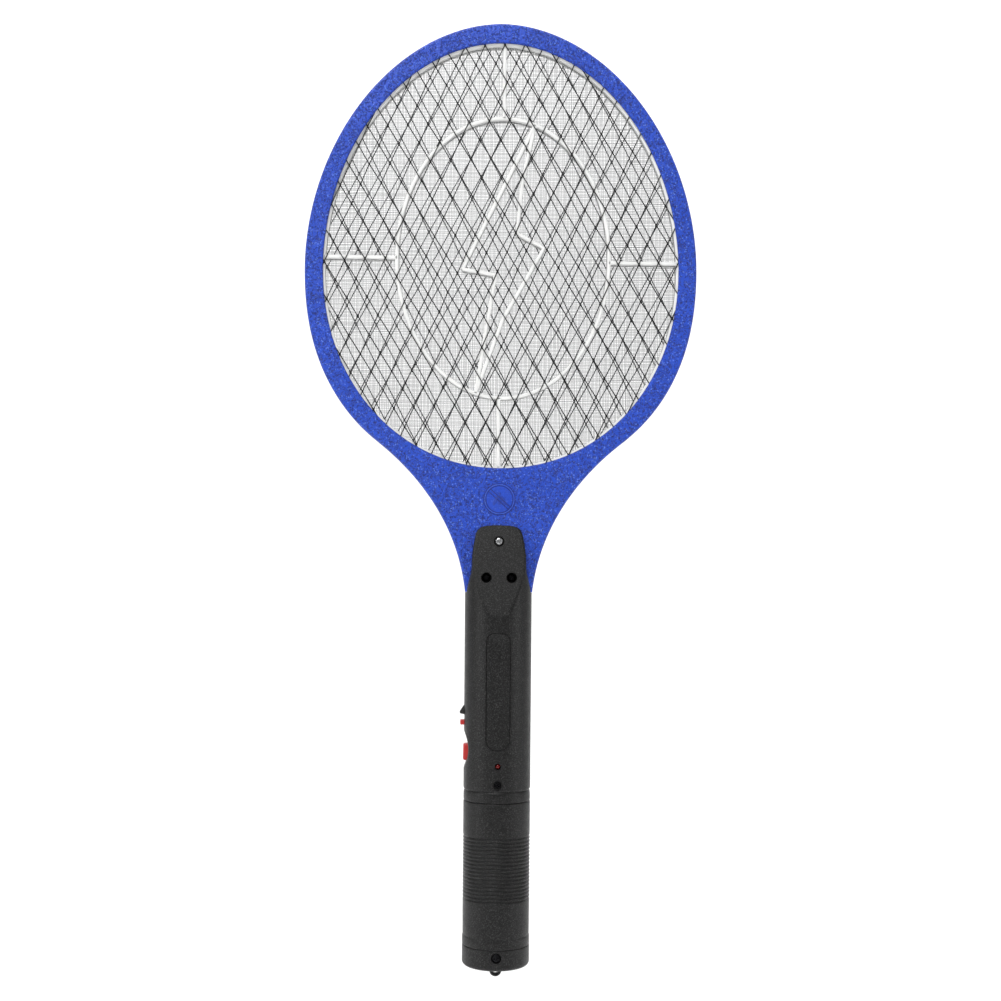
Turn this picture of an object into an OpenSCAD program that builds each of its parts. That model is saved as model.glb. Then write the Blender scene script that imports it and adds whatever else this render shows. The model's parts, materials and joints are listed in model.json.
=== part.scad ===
// Electric fly swatter: oval hoop head with three metal grids, two-part neck,
// round two-cell handle with a thumb pad, push button, slide switch and end cap.
// Upright, +Z towards the head, -Y is the front face, millimetres.

/* [Head] */
// Height of the widest line of the hoop
mid_z = 329.7; // [329.7:0.1:329.8]
// Half width of the hoop
hoop_a = 93.5; // [92:0.5:95]
// Reach of the hoop above its widest line
hoop_up = 117.3; // [116:0.1:119]
// Half width of the opening
open_a = 84.8; // [84:0.1:85.5]
// Reach of the opening above the widest line
open_up = 108.0; // [107:0.5:109]
// Reach of the opening below the widest line
open_down = 94.6; // [94:0.1:95]
// Half thickness of the head
head_t = 4.6; // [4.5:0.1:5]

/* [Grids] */
// Width of one diamond of the outer grids
diamond_w = 9.68; // [9:0.05:11]
// Height of one diamond of the outer grids
diamond_h = 18.0; // [16:0.1:19]
// Wire width of the outer grids
wire_w = 0.55; // [0.45:0.05:0.8]
// Turn of the front grid's pattern
front_turn = 3.7; // [0:0.1:8]
// Turn of the rear grid's pattern
rear_turn = -0.8; // [-4:0.1:8]
// Width of the spacer ribs
rib_w = 1.7; // [1.4:0.1:2.4]

/* [Handle] */
// Outer radius of the handle
grip_r = 16.0; // [16:0.05:16.1]
// Outer radius of the end cap
cap_r = 16.1; // [16.1:0.05:16.3]
// Height of the joint between the battery tube and the upper handle
seam_z = 76.6; // [76.4:0.1:76.8]
// Depth of the grip grooves
groove_d = 0.45; // [0.3:0.05:0.6]
// Radius of the lanyard hole
eye_r = 1.5; // [1.2:0.1:1.8]

/* [Controls] */
// Height of the push button's centre
button_z = 99.6; // [99.2:0.1:100]
// Height of the slide knob's centre
slide_z = 113.7; // [113.6:0.1:113.8]

/* [Batteries] */
// Radius of an AA cell
cell_r = 7.1; // [6.9:0.05:7.2]
// Length of an AA cell with its button
cell_len = 50.5; // [49.5:0.1:50.5]

/* [Hidden] */

// outline exponents of the egg shapes
hoop_nu = 1.92;
hoop_nl = 2.227;
hoop_down = 99.7;
open_nu = 1.95;
open_nl = 2.07;

// neck: from the handle's edge up to the hoop
neck_z = 176;
join_z = 248.5;

// layers of the head, distance from the middle plane
t_grid_out = 3.15;
t_grid_in = 2.65;
t_spacer_out = 2.6;
t_spacer_in = 0.15;
t_center = 0.06;

// handle
bore_r = grip_r - 1.8;
tube_r = 14.8;
cell_x = 7.35;
cell_z = 14;
tail_z = -2;
face_slope = 0.245;
tip_z = 207.8;
top_screw = [0, 200.1];
low_screws = [[-6, 182.9], [6, 182.9]];
emblem_z = 220.2;
shell_screw_z = 85.4;
cap_screw_z = 4.4;
led_z = 94.2;
pcb_y = 2.2;

// -------- curves --------
function spow(v, e) = sign(v) * pow(abs(v), e);
function egg_at(t, a, bu, nu, bl, nl) =
    let (n = sin(t) >= 0 ? nu : nl, b = sin(t) >= 0 ? bu : bl)
    [a * spow(cos(t), 2 / n), mid_z + b * spow(sin(t), 2 / n)];
function egg(a, bu, nu, bl, nl, n = 96) = [for (i = [0:n - 1]) egg_at(i * 360 / n, a, bu, nu, bl, nl)];
function opening(n = 96) = egg(open_a, open_up, open_nu, open_down, open_nl, n);
function unit(v) = v / norm(v);
// moves every point of a counter-clockwise outline outwards by d
function grow(p, d) = let (n = len(p)) [for (i = [0:n - 1])
    let (t = unit(p[(i + 1) % n] - p[(i + n - 1) % n])) p[i] + d * [t[1], -t[0]]];
function bez(a, b, c, d, t) = pow(1 - t, 3) * a + 3 * t * pow(1 - t, 2) * b + 3 * t * t * (1 - t) * c + t * t * t * d;

// right side of the head's outline, from the handle up to the crown
join_t = -asin(pow((mid_z - join_z) / hoop_down, hoop_nl / 2));
join_p = egg_at(join_t, hoop_a, hoop_up, hoop_nu, hoop_down, hoop_nl);
function head_right() = concat(
    [for (i = [0:17]) bez([grip_r + 0.05, neck_z], [20.9, 220.5], join_p - 3.6 * [1.16, 1], join_p, i / 18)],
    [for (i = [0:14]) egg_at(join_t * (1 - i / 15), hoop_a, hoop_up, hoop_nu, hoop_down, hoop_nl)],
    [for (i = [0:29]) egg_at(i * 3, hoop_a, hoop_up, hoop_nu, hoop_down, hoop_nl)],
    [egg_at(88.5, hoop_a, hoop_up, hoop_nu, hoop_down, hoop_nl)]);
function flip(p) = [for (i = [len(p) - 1:-1:0]) [-p[i][0], p[i][1]]];
function inset_side(p, d) = let (n = len(p)) [for (i = [0:n - 1])
    let (t = unit(p[min(i + 1, n - 1)] - p[max(i - 1, 0)]), q = p[i] - d * [t[1], -t[0]])
    [max(q[0], 0.2), i == 0 ? p[0][1] : q[1]]];

// depth of the handle's sloping faces from its axis, at height z
function face_d(z) = 9.42 - face_slope * (z - 190.2);

// keeps the part of a polygon left of the line a-b
function clip_half(p, a, b) = let (s = [for (q = p) cross(b - a, q - a)], n = len(p))
    [for (i = [0:n - 1]) let (j = (i + 1) % n)
        each concat(s[i] >= 0 ? [p[i]] : [],
                    (s[i] >= 0) != (s[j] >= 0) ? [p[i] + (p[j] - p[i]) * s[i] / (s[i] - s[j])] : [])];
function clip(p, e, k = 0) = (k >= len(e) || len(p) < 3) ? p
    : clip(clip_half(p, e[k], e[(k + 1) % len(e)]), e, k + 1);
function area2(p) = let (n = len(p)) [for (i = 0, s = 0; i < n; s = s + cross(p[i], p[(i + 1) % n]), i = i + 1)
    if (i == n - 1) s + cross(p[i], p[0])][0];
function turn(p, a) = [p[0] * cos(a) - p[1] * sin(a), p[0] * sin(a) + p[1] * cos(a)];
// how far out a point lies, 1 on the opening's edge
function out_at(p) = let (z = p[1] - mid_z, b = z >= 0 ? open_up : open_down) norm([p[0] / open_a, z / b]);

// moves every side of a counter-clockwise outline inwards by d, corners mitred
function cut_at(p, u, q, v) = p + u * (cross(q - p, v) / cross(u, v));
function miter(p, d) = let (n = len(p)) [for (i = [0:n - 1])
    let (u = unit(p[i] - p[(i + n - 1) % n]), v = unit(p[(i + 1) % n] - p[i]))
    cut_at(p[i] + d * [-u[1], u[0]], u, p[i] + d * [-v[1], v[0]], v)];

// -------- helpers --------
// a plate whose outline is drawn in x and z, standing from y0 to y1
module plate(y0, y1) translate([0, y1, 0]) rotate([90, 0, 0]) linear_extrude(y1 - y0) children();
module along_y(x, z, y0, y1, r, r2 = undef, fn = 48)
    translate([x, y1, z]) rotate([90, 0, 0]) cylinder(h = y1 - y0, r1 = is_undef(r2) ? r : r2, r2 = r, $fn = fn);
module along_x(y, z, x0, x1, r, fn = 40) translate([x0, y, z]) rotate([0, 90, 0]) cylinder(h = x1 - x0, r = r, $fn = fn);
module box(a, b) translate(a) cube(b - a);
module slab(x0, x1, z0, z1, y0, y1) box([x0, y0, z0], [x1, y1, z1]);
// round wire through the points p, closed at both ends
module wire(p, r, n = 8, ref = [0, 1, 0.03]) {
    m = len(p);
    tan = [for (i = [0:m - 1]) unit(p[min(i + 1, m - 1)] - p[max(i - 1, 0)])];
    pts = [for (i = [0:m - 1]) let (u = unit(cross(tan[i], ref)), v = cross(tan[i], u))
        for (k = [0:n - 1]) p[i] + r * (cos(360 * k / n) * u + sin(360 * k / n) * v)];
    side = [for (i = [0:m - 2]) for (k = [0:n - 1]) let (k2 = (k + 1) % n)
        [i * n + k, (i + 1) * n + k, (i + 1) * n + k2, i * n + k2]];
    polyhedron(points = pts, faces = concat(side,
        [[for (k = [0:n - 1]) k]], [[for (k = [n - 1:-1:0]) (m - 1) * n + k]]), convexity = 6);
}
function smooth(p, s = 6) = let (m = len(p)) concat([for (i = [0:m - 2]) for (j = [0:s - 1])
    let (t = j / s, a = p[max(i - 1, 0)], b = p[i], c = p[i + 1], d = p[min(i + 2, m - 1)])
    0.5 * (2 * b + (c - a) * t + (2 * a - 5 * b + 4 * c - d) * t * t + (3 * b - a - 3 * c + d) * t * t * t)],
    [p[m - 1]]);
module coil(x, z0, z1, r0, r1, wire_r, turns) {
    n = round(turns * 14);
    translate([x, 0, 0]) wire([for (i = [0:n]) let (a = 360 * turns * i / n, r = r0 + (r1 - r0) * i / n)
        [r * cos(a), r * sin(a), z0 + wire_r + (z1 - z0 - 2 * wire_r) * i / n]], wire_r, 6, [0, 0, 1]);
}
// pan-head screw along +Y, head at the front, seat at y = 0
module screw(head_r, head_h, shaft_r, len) difference() {
    union() {
        along_y(0, 0, -head_h * 0.55, 0, head_r, fn = 32);
        along_y(0, 0, -head_h, -head_h * 0.55, head_r * 0.8, head_r, fn = 32);
        along_y(0, 0, 0, len - 1, shaft_r, fn = 24);
        along_y(0, 0, len - 1, len, shaft_r, shaft_r * 0.3, fn = 24);
    }
    for (a = [0, 90]) rotate([0, a + 20, 0]) slab(-head_r * 0.62, head_r * 0.62, -0.28, 0.28, -head_h - 0.1, -head_h * 0.35);
}

// -------- head --------
// one half of the blue head, for the front; s is 1 at the front
module frame_solid() {
    h = head_right();
    inset = [0, 0, 0.35, 1.1];
    yy = [-0.03, -3.4, -4.2, -head_t];
    m = len(h);
    rows = [for (k = [0:3]) inset_side(h, inset[k])];
    pts = [for (k = [0:3]) each concat([for (i = [0:m - 1]) [rows[k][i][0], yy[k], rows[k][i][1]]],
                                       [for (i = [0:m - 1]) [-rows[k][i][0], yy[k], rows[k][i][1]]])];
    w = 2 * m;
    side = [for (k = [0:2]) each concat(
        [for (i = [0:m - 2]) each [[k * w + i, (k + 1) * w + i, (k + 1) * w + i + 1], [k * w + i, (k + 1) * w + i + 1, k * w + i + 1]]],
        [for (i = [0:m - 2]) each [[k * w + m + i, k * w + m + i + 1, (k + 1) * w + m + i + 1], [k * w + m + i, (k + 1) * w + m + i + 1, (k + 1) * w + m + i]]],
        [[k * w, k * w + m, (k + 1) * w + m], [k * w, (k + 1) * w + m, (k + 1) * w]],
        [[k * w + m - 1, (k + 1) * w + m - 1, (k + 1) * w + 2 * m - 1], [k * w + m - 1, (k + 1) * w + 2 * m - 1, k * w + 2 * m - 1]])];
    caps = [for (i = [0:m - 2]) each [
        [i, i + 1, m + i + 1], [i, m + i + 1, m + i],
        [3 * w + i, 3 * w + m + i, 3 * w + m + i + 1], [3 * w + i, 3 * w + m + i + 1, 3 * w + i + 1]]];
    polyhedron(points = pts, faces = concat(side, caps), convexity = 8);
}
module frame_half() {
    difference() {
        union() {
            frame_solid();
            slab(-13.4, 13.4, 160, neck_z + 1, -4.3, -0.03);
        }
        plate(-8, 1) polygon(opening());
        plate(-t_grid_out - 0.08, 1) polygon(grow(opening(), 3));
        // wiring space in the neck
        difference() {
            slab(-12.5, 12.5, 178, 240, -3.2, 1);
            for (p = concat([top_screw], low_screws)) along_y(p[0], p[1], -4, 2, 3.2);
        }
        for (s = [-1, 1]) slab(s * 11 - 1.1, s * 11 + 1.1, 159, 179, -1.4, 1);
        for (p = concat([top_screw], low_screws)) along_y(p[0], p[1], -8, 2, 1.6);
    }
}
module front_frame() color([0.20, 0.30, 0.72]) {
    frame_half();
    difference() {
        along_y(0, emblem_z, -head_t - 0.35, -head_t + 0.2, 7.3, fn = 64);
        along_y(0, emblem_z, -head_t - 2, 0, 6.2, fn = 64);
    }
    intersection() {
        along_y(0, emblem_z, -head_t - 0.35, -head_t + 0.2, 6.7, fn = 64);
        translate([0, 0, emblem_z]) rotate([0, 45, 0]) slab(-7, 7, -0.6, 0.6, -head_t - 0.35, -head_t + 0.2);
    }
}
module rear_frame() color([0.20, 0.30, 0.72]) mirror([0, 1, 0]) frame_half();

// adds the soldering tab to the lower edge of a grid's outline
function tabbed(p) = let (b = p[45], c = p[46], d = p[47],
    z0 = b[1] + (c[1] - b[1]) * 7 / c[0], z1 = c[1] + (d[1] - c[1]) * (11 - c[0]) / (d[0] - c[0]))
    concat([for (i = [0:45]) p[i]], [[7, z0], [7, 227], [11, 227], [11, z1]], [for (i = [47:59]) p[i]]);
// diamond pattern clipped to the frame's rebate
module lattice(a, shift, y0, y1) {
    edge = grow(opening(60), 1.3);
    rim = tabbed(grow(opening(60), 2.7));
    k = 1 - wire_w * norm([diamond_w, diamond_h]) / (diamond_w * diamond_h);
    hole = [[diamond_w / 2, 0], [0, diamond_h / 2], [-diamond_w / 2, 0], [0, -diamond_h / 2]] * k;
    cells = [for (j = [-15:15]) for (i = [-11:11])
        let (c = turn([(i + (j % 2 == 0 ? 0 : 0.5)) * diamond_w, j * diamond_h / 2], a) + [0, mid_z] + shift)
        if (out_at(c) < 1.16)
            let (h = [for (q = hole) c + turn(q, a)], m = max([for (q = h) out_at(q)]))
            m < 0.96 ? h : clip(h, edge)];
    kept = [for (h = cells) if (len(h) > 2) if (area2(h) > 3) h];
    all = concat([rim], kept);
    start = [for (i = 0, s = 0; i < len(all); s = s + len(all[i]), i = i + 1) s];
    plate(y0, y1) polygon(points = [for (p = all) each p],
        paths = [for (i = [0:len(all) - 1]) [for (q = [0:len(all[i]) - 1]) start[i] + q]]);
}
module front_grid() color([0.35, 0.36, 0.38]) lattice(front_turn, [-1.2, -9.5], -t_grid_out, -t_grid_in);
module rear_grid() color([0.35, 0.36, 0.38]) lattice(rear_turn, [-1.1, 0.4], t_grid_in, t_grid_out);
module center_grid() color([0.75, 0.76, 0.78]) {
    plate(-t_center, t_center) polygon(grow(opening(60), 2.7));
    slab(-11, -7, 227, 233.4, -t_center, t_center);
}

// spacer between two grids: rim, oval ring, four arms and a zigzag brace
module spacer() {
    o = opening(72);
    a = grow(o, 2.7);
    b = grow(o, -1.0);
    cx = 0.9;
    cz = 335.5;
    rx = 50.7;
    rz = 66.8;
    // zigzag brace, its two tips buried in the oval ring
    bolt = [[15.6, 399.3], [-18.6, 330.1], [-2.7, 327.5], [-11.8, 270.9], [1.0, 306.5], [20.6, 340.8], [7.5, 347.3], [9.6, 370.8]];
    y0 = -t_spacer_out;
    y1 = -t_spacer_in;
    plate(y0, y1) polygon(points = concat(a, b), paths = [[for (i = [0:71]) i], [for (i = [0:71]) 72 + i]]);
    plate(y0, y1) polygon(
        points = concat([for (i = [0:71]) [cx + (rx + rib_w / 2) * cos(i * 5), cz + (rz + rib_w / 2) * sin(i * 5)]],
                        [for (i = [0:71]) [cx + (rx - rib_w / 2) * cos(i * 5), cz + (rz - rib_w / 2) * sin(i * 5)]]),
        paths = [[for (i = [0:71]) i], [for (i = [0:71]) 72 + i]]);
    slab(cx - rib_w / 2, cx + rib_w / 2, cz + rz, 438, y0, y1);
    slab(cx - rib_w / 2 - 1.6, cx + rib_w / 2 - 1.6, 234, cz - rz, y0, y1);
    slab(-84.5, cx - rx, 335 - rib_w / 2, 335 + rib_w / 2, y0, y1);
    slab(cx + rx, 84.5, 334 - rib_w / 2, 334 + rib_w / 2, y0, y1);
    plate(y0, y1) polygon(points = concat(bolt, miter(bolt, rib_w)), paths = [[for (i = [0:7]) i], [for (i = [0:7]) 8 + i]]);
}
module front_spacer() color([0.93, 0.93, 0.92]) spacer();
module rear_spacer() color([0.93, 0.93, 0.92]) mirror([0, 1, 0]) spacer();

module grid_lead_outer() color([0.12, 0.12, 0.13]) {
    wire(smooth([[9.2, 0.6, 149.5], [9.8, 0.4, 154], [11, 0, 159], [11, 0, 170], [11, 0, 200], [10.6, 0, 219], [9.5, 0, 222.5]]), 0.6);
    wire(smooth([[9.5, 0, 222.0], [9, -1.6, 224], [9, -2.0, 226], [9, -2.0, 229.5]]), 0.6, 8, [1, 0, 0]);
    wire(smooth([[9.5, 0, 222.0], [9, 1.6, 224], [9, 2.0, 226], [9, 2.0, 229.5]]), 0.6, 8, [1, 0, 0]);
}
module grid_lead_center() color([0.75, 0.15, 0.12])
    wire(smooth([[-9.2, 0.6, 149.5], [-9.8, 0.4, 154], [-11, 0, 159], [-11, 0, 170], [-11, 0, 200], [-10.6, 0, 219], [-9.4, -0.5, 224], [-9, -0.68, 226], [-9, -0.68, 229.5]]), 0.6);

// -------- handle --------
function tongue_side() = [[13.0, 188], [12.8, 193.5], [12.1, 198.3], [11.4, 202.3], [10.4, 205.2], [8.6, 207.0], [4.3, tip_z]];
module wedge(d) rotate([90, 0, 90]) translate([0, 0, -30]) linear_extrude(60)
    polygon([[-17.5, 60], [-17.5, 190.2 + (9.42 - 17.5) / face_slope], [-face_d(tip_z + 0.5), tip_z + 0.5],
             [face_d(tip_z + 0.5), tip_z + 0.5], [17.5, 190.2 + (9.42 - 17.5) / face_slope], [17.5, 60]] + [for (i = [0:5]) [i < 3 ? d : -d, 0]]);
module upper_body() intersection() {
    difference() {
        translate([0, 0, seam_z + 0.05]) cylinder(h = tip_z - seam_z, r = grip_r, $fn = 96);
        // collar just above the seam
        translate([0, 0, seam_z - 1]) difference() {
            cylinder(h = 5.9, r = grip_r + 2, $fn = 96);
            translate([0, 0, -1]) cylinder(h = 8, r = grip_r - 0.3, $fn = 96);
        }
    }
    wedge(0);
    plate(-20, 20) polygon(concat([[20, 60], [20, 175.9], [15.9, 175.9], [15.0, 179], [14.1, 182.2]], tongue_side(),
        flip(concat([[20, 60], [20, 175.9], [15.9, 175.9], [15.0, 179], [14.1, 182.2]], tongue_side()))));
}
module pad_outline(w, z0, z1) hull() for (z = [z0 + w / 2, z1 - w / 2]) translate([0, z]) circle(d = w, $fn = 32);
module racetrack(w, z0, z1, y0, y1) {
    slab(-w / 2, w / 2, z0 + w / 2, z1 - w / 2, y0, y1);
    for (z = [z0 + w / 2, z1 - w / 2]) along_y(0, z, y0, y1, w / 2);
}
module upper_shell() {
    difference() {
        union() {
            difference() {
                upper_body();
                // electronics space
                intersection() {
                    translate([0, 0, seam_z - 1]) cylinder(h = 173 - seam_z, r = bore_r, $fn = 80);
                    wedge(1.8);
                }
            }
            // spigot into the battery tube
            difference() {
                translate([0, 0, seam_z - 4.6]) cylinder(h = 7.6, r = tube_r - 0.12, $fn = 80);
                translate([0, 0, seam_z - 5.6]) cylinder(h = 12, r = 13.1, $fn = 80);
            }
            intersection() {
                translate([0, 0, seam_z + 1]) cylinder(h = 100, r = grip_r - 0.5, $fn = 80);
                union() {
                    // screw posts, wall behind the push button, posts under the board
                    along_y(0, shell_screw_z, -16, 16, 3.2);
                    slab(-15.5, -11.9, 92, 107.5, -8, 8);
                    for (x = [-7, 7]) along_y(x, 147.4, pcb_y + 1.65, 16, 1.6, fn = 24);
                }
            }
            // guard lug above the slide knob
            intersection() {
                plate(-3, 3) polygon([[-15, 116], [-15.9, 117.4], [-18.0, 118.4], [-18.0, 119.4], [-15.9, 121.9], [-15, 123]]);
                translate([0, 0, 110]) cylinder(h = 20, r = 18.0, $fn = 80);
            }
        }
        // room for the blue neck
        slab(-13.5, 13.5, 159.9, 200, -4.35, 4.35);
        slab(-25, 25, neck_z - 0.05, 215, -head_t - 0.05, head_t + 0.05);
        // thumb scoop round the button
        translate([-32.6, 0, 101]) rotate([90, 0, 0]) cylinder(h = 60, r = 18.7, center = true, $fn = 120);
        // button hole
        slab(-17, -10, button_z - 4.15, button_z + 4.15, -3.4, 3.4);
        // slide slot
        slab(-19, -12, slide_z - 1.3, slide_z + 3.6, -2.15, 2.15);
        // screw posts are drilled from the front
        along_y(0, shell_screw_z, -20, -13.6, 2.35);
        along_y(0, shell_screw_z, -14, 0, 1.4);
        along_y(0, shell_screw_z, -1, 9, 1.15);
        // indicator
        along_y(0, led_z, -20, 0, 1.62);
        for (p = low_screws) {
            along_y(p[0], p[1], -20, -7.2, 2.5);
            along_y(p[0], p[1], -8, 0, 1.4);
            along_y(p[0], p[1], 0, 9.4, 1.15);
        }
        along_y(top_screw[0], top_screw[1], -20, -5.35, 2.5);
        along_y(top_screw[0], top_screw[1], -8, 0, 1.4);
        along_y(top_screw[0], top_screw[1], 0, 6.0, 1.15);
        children();
    }
}
module handle_front() color([0.20, 0.20, 0.21]) {
    intersection() {
        union() {
            upper_shell()
                // thumb pad
                union() {
                    racetrack(12.05, 101.2, 157.2, -18, -14.83);
                    hull() {
                        racetrack(12.05, 101.2, 157.2, -14.9, -14.83);
                        racetrack(7.1, 104.6, 151.2, -14.1, -14.0);
                    }
                }
            // backing of the thumb pad
            intersection() {
                difference() {
                    slab(-8, 8, 99, 159, -15, -12.2);
                    racetrack(12.05, 101.2, 157.2, -18, -14.4);
                    racetrack(7.9, 104.2, 152, -18, -13.95);
                }
                translate([0, 0, 90]) cylinder(h = 80, r = grip_r - 0.6, $fn = 80);
            }
        }
        slab(-30, 30, 0, 260, -30, -0.03);
    }
}
module handle_rear() color([0.20, 0.20, 0.21]) intersection() {
    upper_shell();
    slab(-30, 30, 0, 260, 0.03, 30);
}

module battery_tube() color([0.20, 0.20, 0.21]) difference() {
    union() {
        rotate_extrude($fn = 96) polygon(concat(
            [[tube_r, 8.05], [grip_r - 0.25, 8.05], [grip_r, 8.3], [grip_r, 12.2], [grip_r - 0.3, 12.5], [grip_r - 0.3, 13.0], [grip_r, 13.3]],
            [for (i = [0:17]) each let (z = 30.3 + i * 1.735) [[grip_r, z - 0.45], [grip_r - groove_d, z - 0.1], [grip_r - groove_d, z + 0.1], [grip_r, z + 0.45]]],
            [[grip_r, seam_z - 0.3], [grip_r - 0.25, seam_z], [tube_r, seam_z]]));
        // post that takes the end cap's screw
        slab(-2.8, 2.8, 1.2, 20, -13.2, -9.2);
        slab(-2.8, 2.8, 13.2, 20, -15.2, -13.0);
    }
    along_y(0, cap_screw_z, -14, -9, 1.15);
}
module end_cap() color([0.19, 0.19, 0.20]) difference() {
    union() {
        rotate_extrude($fn = 96) polygon(concat(
            [[0, tail_z]], [for (i = [0:6]) [cap_r - 2 + 2 * sin(i * 15), 0 - 2 * cos(i * 15)]],
            [[cap_r, 7.8], [cap_r - 0.2, 8.0], [tube_r - 0.12, 8.0], [tube_r - 0.12, 12.5], [13.4, 12.5], [13.4, 6], [0, 6]]));
        slab(-3, 3, -5, -1.5, -1.5, 1.5);
        along_y(0, -5, -1.5, 1.5, 3);
    }
    along_y(0, -5, -3, 3, eye_r);
    slab(-3.1, 3.1, 0.9, 14, -13.45, -8.9);
    along_y(0, cap_screw_z, -20, -14.9, 2.4);
    along_y(0, cap_screw_z, -16, -12, 1.4);
    // the screw post passes the spigot here
    slab(-3.1, 3.1, 8.02, 14, -16, -12);
}

module neck_screws() color([0.78, 0.78, 0.80]) {
    translate([top_screw[0], -5.35, top_screw[1]]) screw(1.9, 1.3, 1.1, 10.8);
    for (p = low_screws) translate([p[0], -7.2, p[1]]) screw(1.9, 1.3, 1.1, 15.5);
}
module shell_screw() color([0.5, 0.5, 0.52]) translate([0, -13.6, shell_screw_z]) screw(2.1, 1.4, 1.1, 21);
module cap_screw() color([0.5, 0.5, 0.52]) translate([0, -14.9, cap_screw_z]) screw(2.1, 0.9, 1.1, 5.4);

// -------- power --------
// an AA cell standing on z = 0, button end up
module cell() {
    cylinder(h = cell_len - 1.5, r = cell_r, $fn = 64);
    cylinder(h = cell_len, r = 2.7, $fn = 40);
}
module battery_left() color([0.85, 0.55, 0.18]) translate([-cell_x, 0, cell_z]) cell();
module battery_right() color([0.85, 0.55, 0.18]) translate([cell_x, 0, cell_z + cell_len]) rotate([180, 0, 0]) cell();
module cap_link_plate() color([0.8, 0.8, 0.78]) slab(-12, 12, 6.03, 6.4, -4.5, 4.5);
module cap_springs() color([0.8, 0.8, 0.78]) {
    coil(-cell_x, 6.45, 13.95, 4.2, 2.6, 0.4, 4);
    coil(cell_x, 6.45, 13.95, 4.2, 2.2, 0.4, 4);
}
module contact_carrier() color([0.15, 0.15, 0.16]) difference() {
    translate([0, 0, 68.2]) cylinder(h = 2.4, r = tube_r - 0.2, $fn = 80);
    for (s = [-1, 1]) slab(s * cell_x - 1, s * cell_x + 1, 67, 72, -0.8, 0.8);
}
module contact_positive() color([0.8, 0.8, 0.78]) difference() {
    union() {
        slab(-cell_x - 4, -cell_x + 4, 67.75, 68.15, -3.5, 3.5);
        translate([-cell_x, 0, cell_z + cell_len + 0.05]) cylinder(h = 3.2, r1 = 1.6, r2 = 3, $fn = 32);
        slab(-cell_x - 0.8, -cell_x + 0.8, 68, 73, -0.2, 0.2);
    }
    translate([-cell_x, 0, cell_z + cell_len + 0.5]) cylinder(h = 2.6, r1 = 1.0, r2 = 2.5, $fn = 32);
}
module contact_negative() color([0.8, 0.8, 0.78]) {
    slab(cell_x - 4.5, cell_x + 4.5, 67.75, 68.15, -3.5, 3.5);
    slab(cell_x - 0.8, cell_x + 0.8, 68, 73, -0.2, 0.2);
    coil(cell_x, cell_z + cell_len + 0.05, 67.85, 2.6, 3.6, 0.35, 2);
}
module battery_lead_red() color([0.75, 0.10, 0.08])
    wire(smooth([[-cell_x, 0.95, 71], [-7.8, 1.2, 76], [-9.5, 2.5, 82], [-9.2, 2.6, 86], [-8, 1.4, 89.5], [-7.6, 1.35, 92.5]]), 0.7);
module battery_lead_black() color([0.08, 0.08, 0.09])
    wire(smooth([[cell_x, 0.95, 71], [7.8, 1.2, 76], [9.5, 2.5, 82], [9.2, 2.6, 86], [8, 1.4, 89.5], [7.6, 1.35, 92.5]]), 0.7);

// -------- electronics --------
module pcb() color([0.45, 0.33, 0.14]) difference() {
    slab(-10.5, 10.5, 89.2, 150, pcb_y, pcb_y + 1.6);
    along_y(0, shell_screw_z, 0, 6, 3.6);
    slab(-11, -9.05, button_z - 5.6, button_z + 5.6, pcb_y - 1, pcb_y + 3);
}
module transformer_core() color([0.22, 0.22, 0.24]) difference() {
    slab(-7, 7, 123, 138, -6.5, -1.5);
    for (s = [-1, 1]) slab(s * 3.5 - 1.5, s * 3.5 + 1.5, 125.5, 135.5, -7, -1);
}
module transformer_bobbin() color([0.12, 0.12, 0.13]) {
    difference() {
        union() {
            for (z = [125.6, 134.65]) slab(-4.9, 4.9, z, z + 0.75, -9.6, 2.15);
            slab(-2.9, 2.9, 126, 135, -7.4, -0.6);
        }
        slab(-2.05, 2.05, 120, 140, -6.55, -1.45);
    }
}
module transformer_winding() color([0.85, 0.70, 0.15]) difference() {
    slab(-4.6, 4.6, 126.4, 134.6, -9.2, 1.4);
    slab(-2.95, 2.95, 126, 135, -7.45, -0.55);
}
module hv_capacitor() color([0.60, 0.16, 0.10]) {
    slab(-7, 7, 141, 148.5, -5.6, 1.0);
    for (s = [-1, 1]) intersection() {
        translate([s * 7, -2.3, 141]) cylinder(h = 7.5, r = 3.3, $fn = 40);
        slab(-12, 12, 141, 148.5, -5.6, 1.0);
    }
}
module transistor() color([0.10, 0.10, 0.11]) difference() {
    along_y(2.6, 104.2, -6.2, -1.4, 2.3, fn = 40);
    slab(-2, 6, 105.5, 108, -8, 0);
}
module diodes() color([0.10, 0.10, 0.11]) for (x = [2.4, 5.7, 9.0]) translate([x, 0.3, 110.2]) cylinder(h = 5.2, r = 1.35, $fn = 32);
module resistors() color([0.80, 0.68, 0.45]) for (x = [2.4, 5.7, 9.0]) translate([x, 0.7, 117.4]) cylinder(h = 3.6, r = 0.95, $fn = 32);
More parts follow.
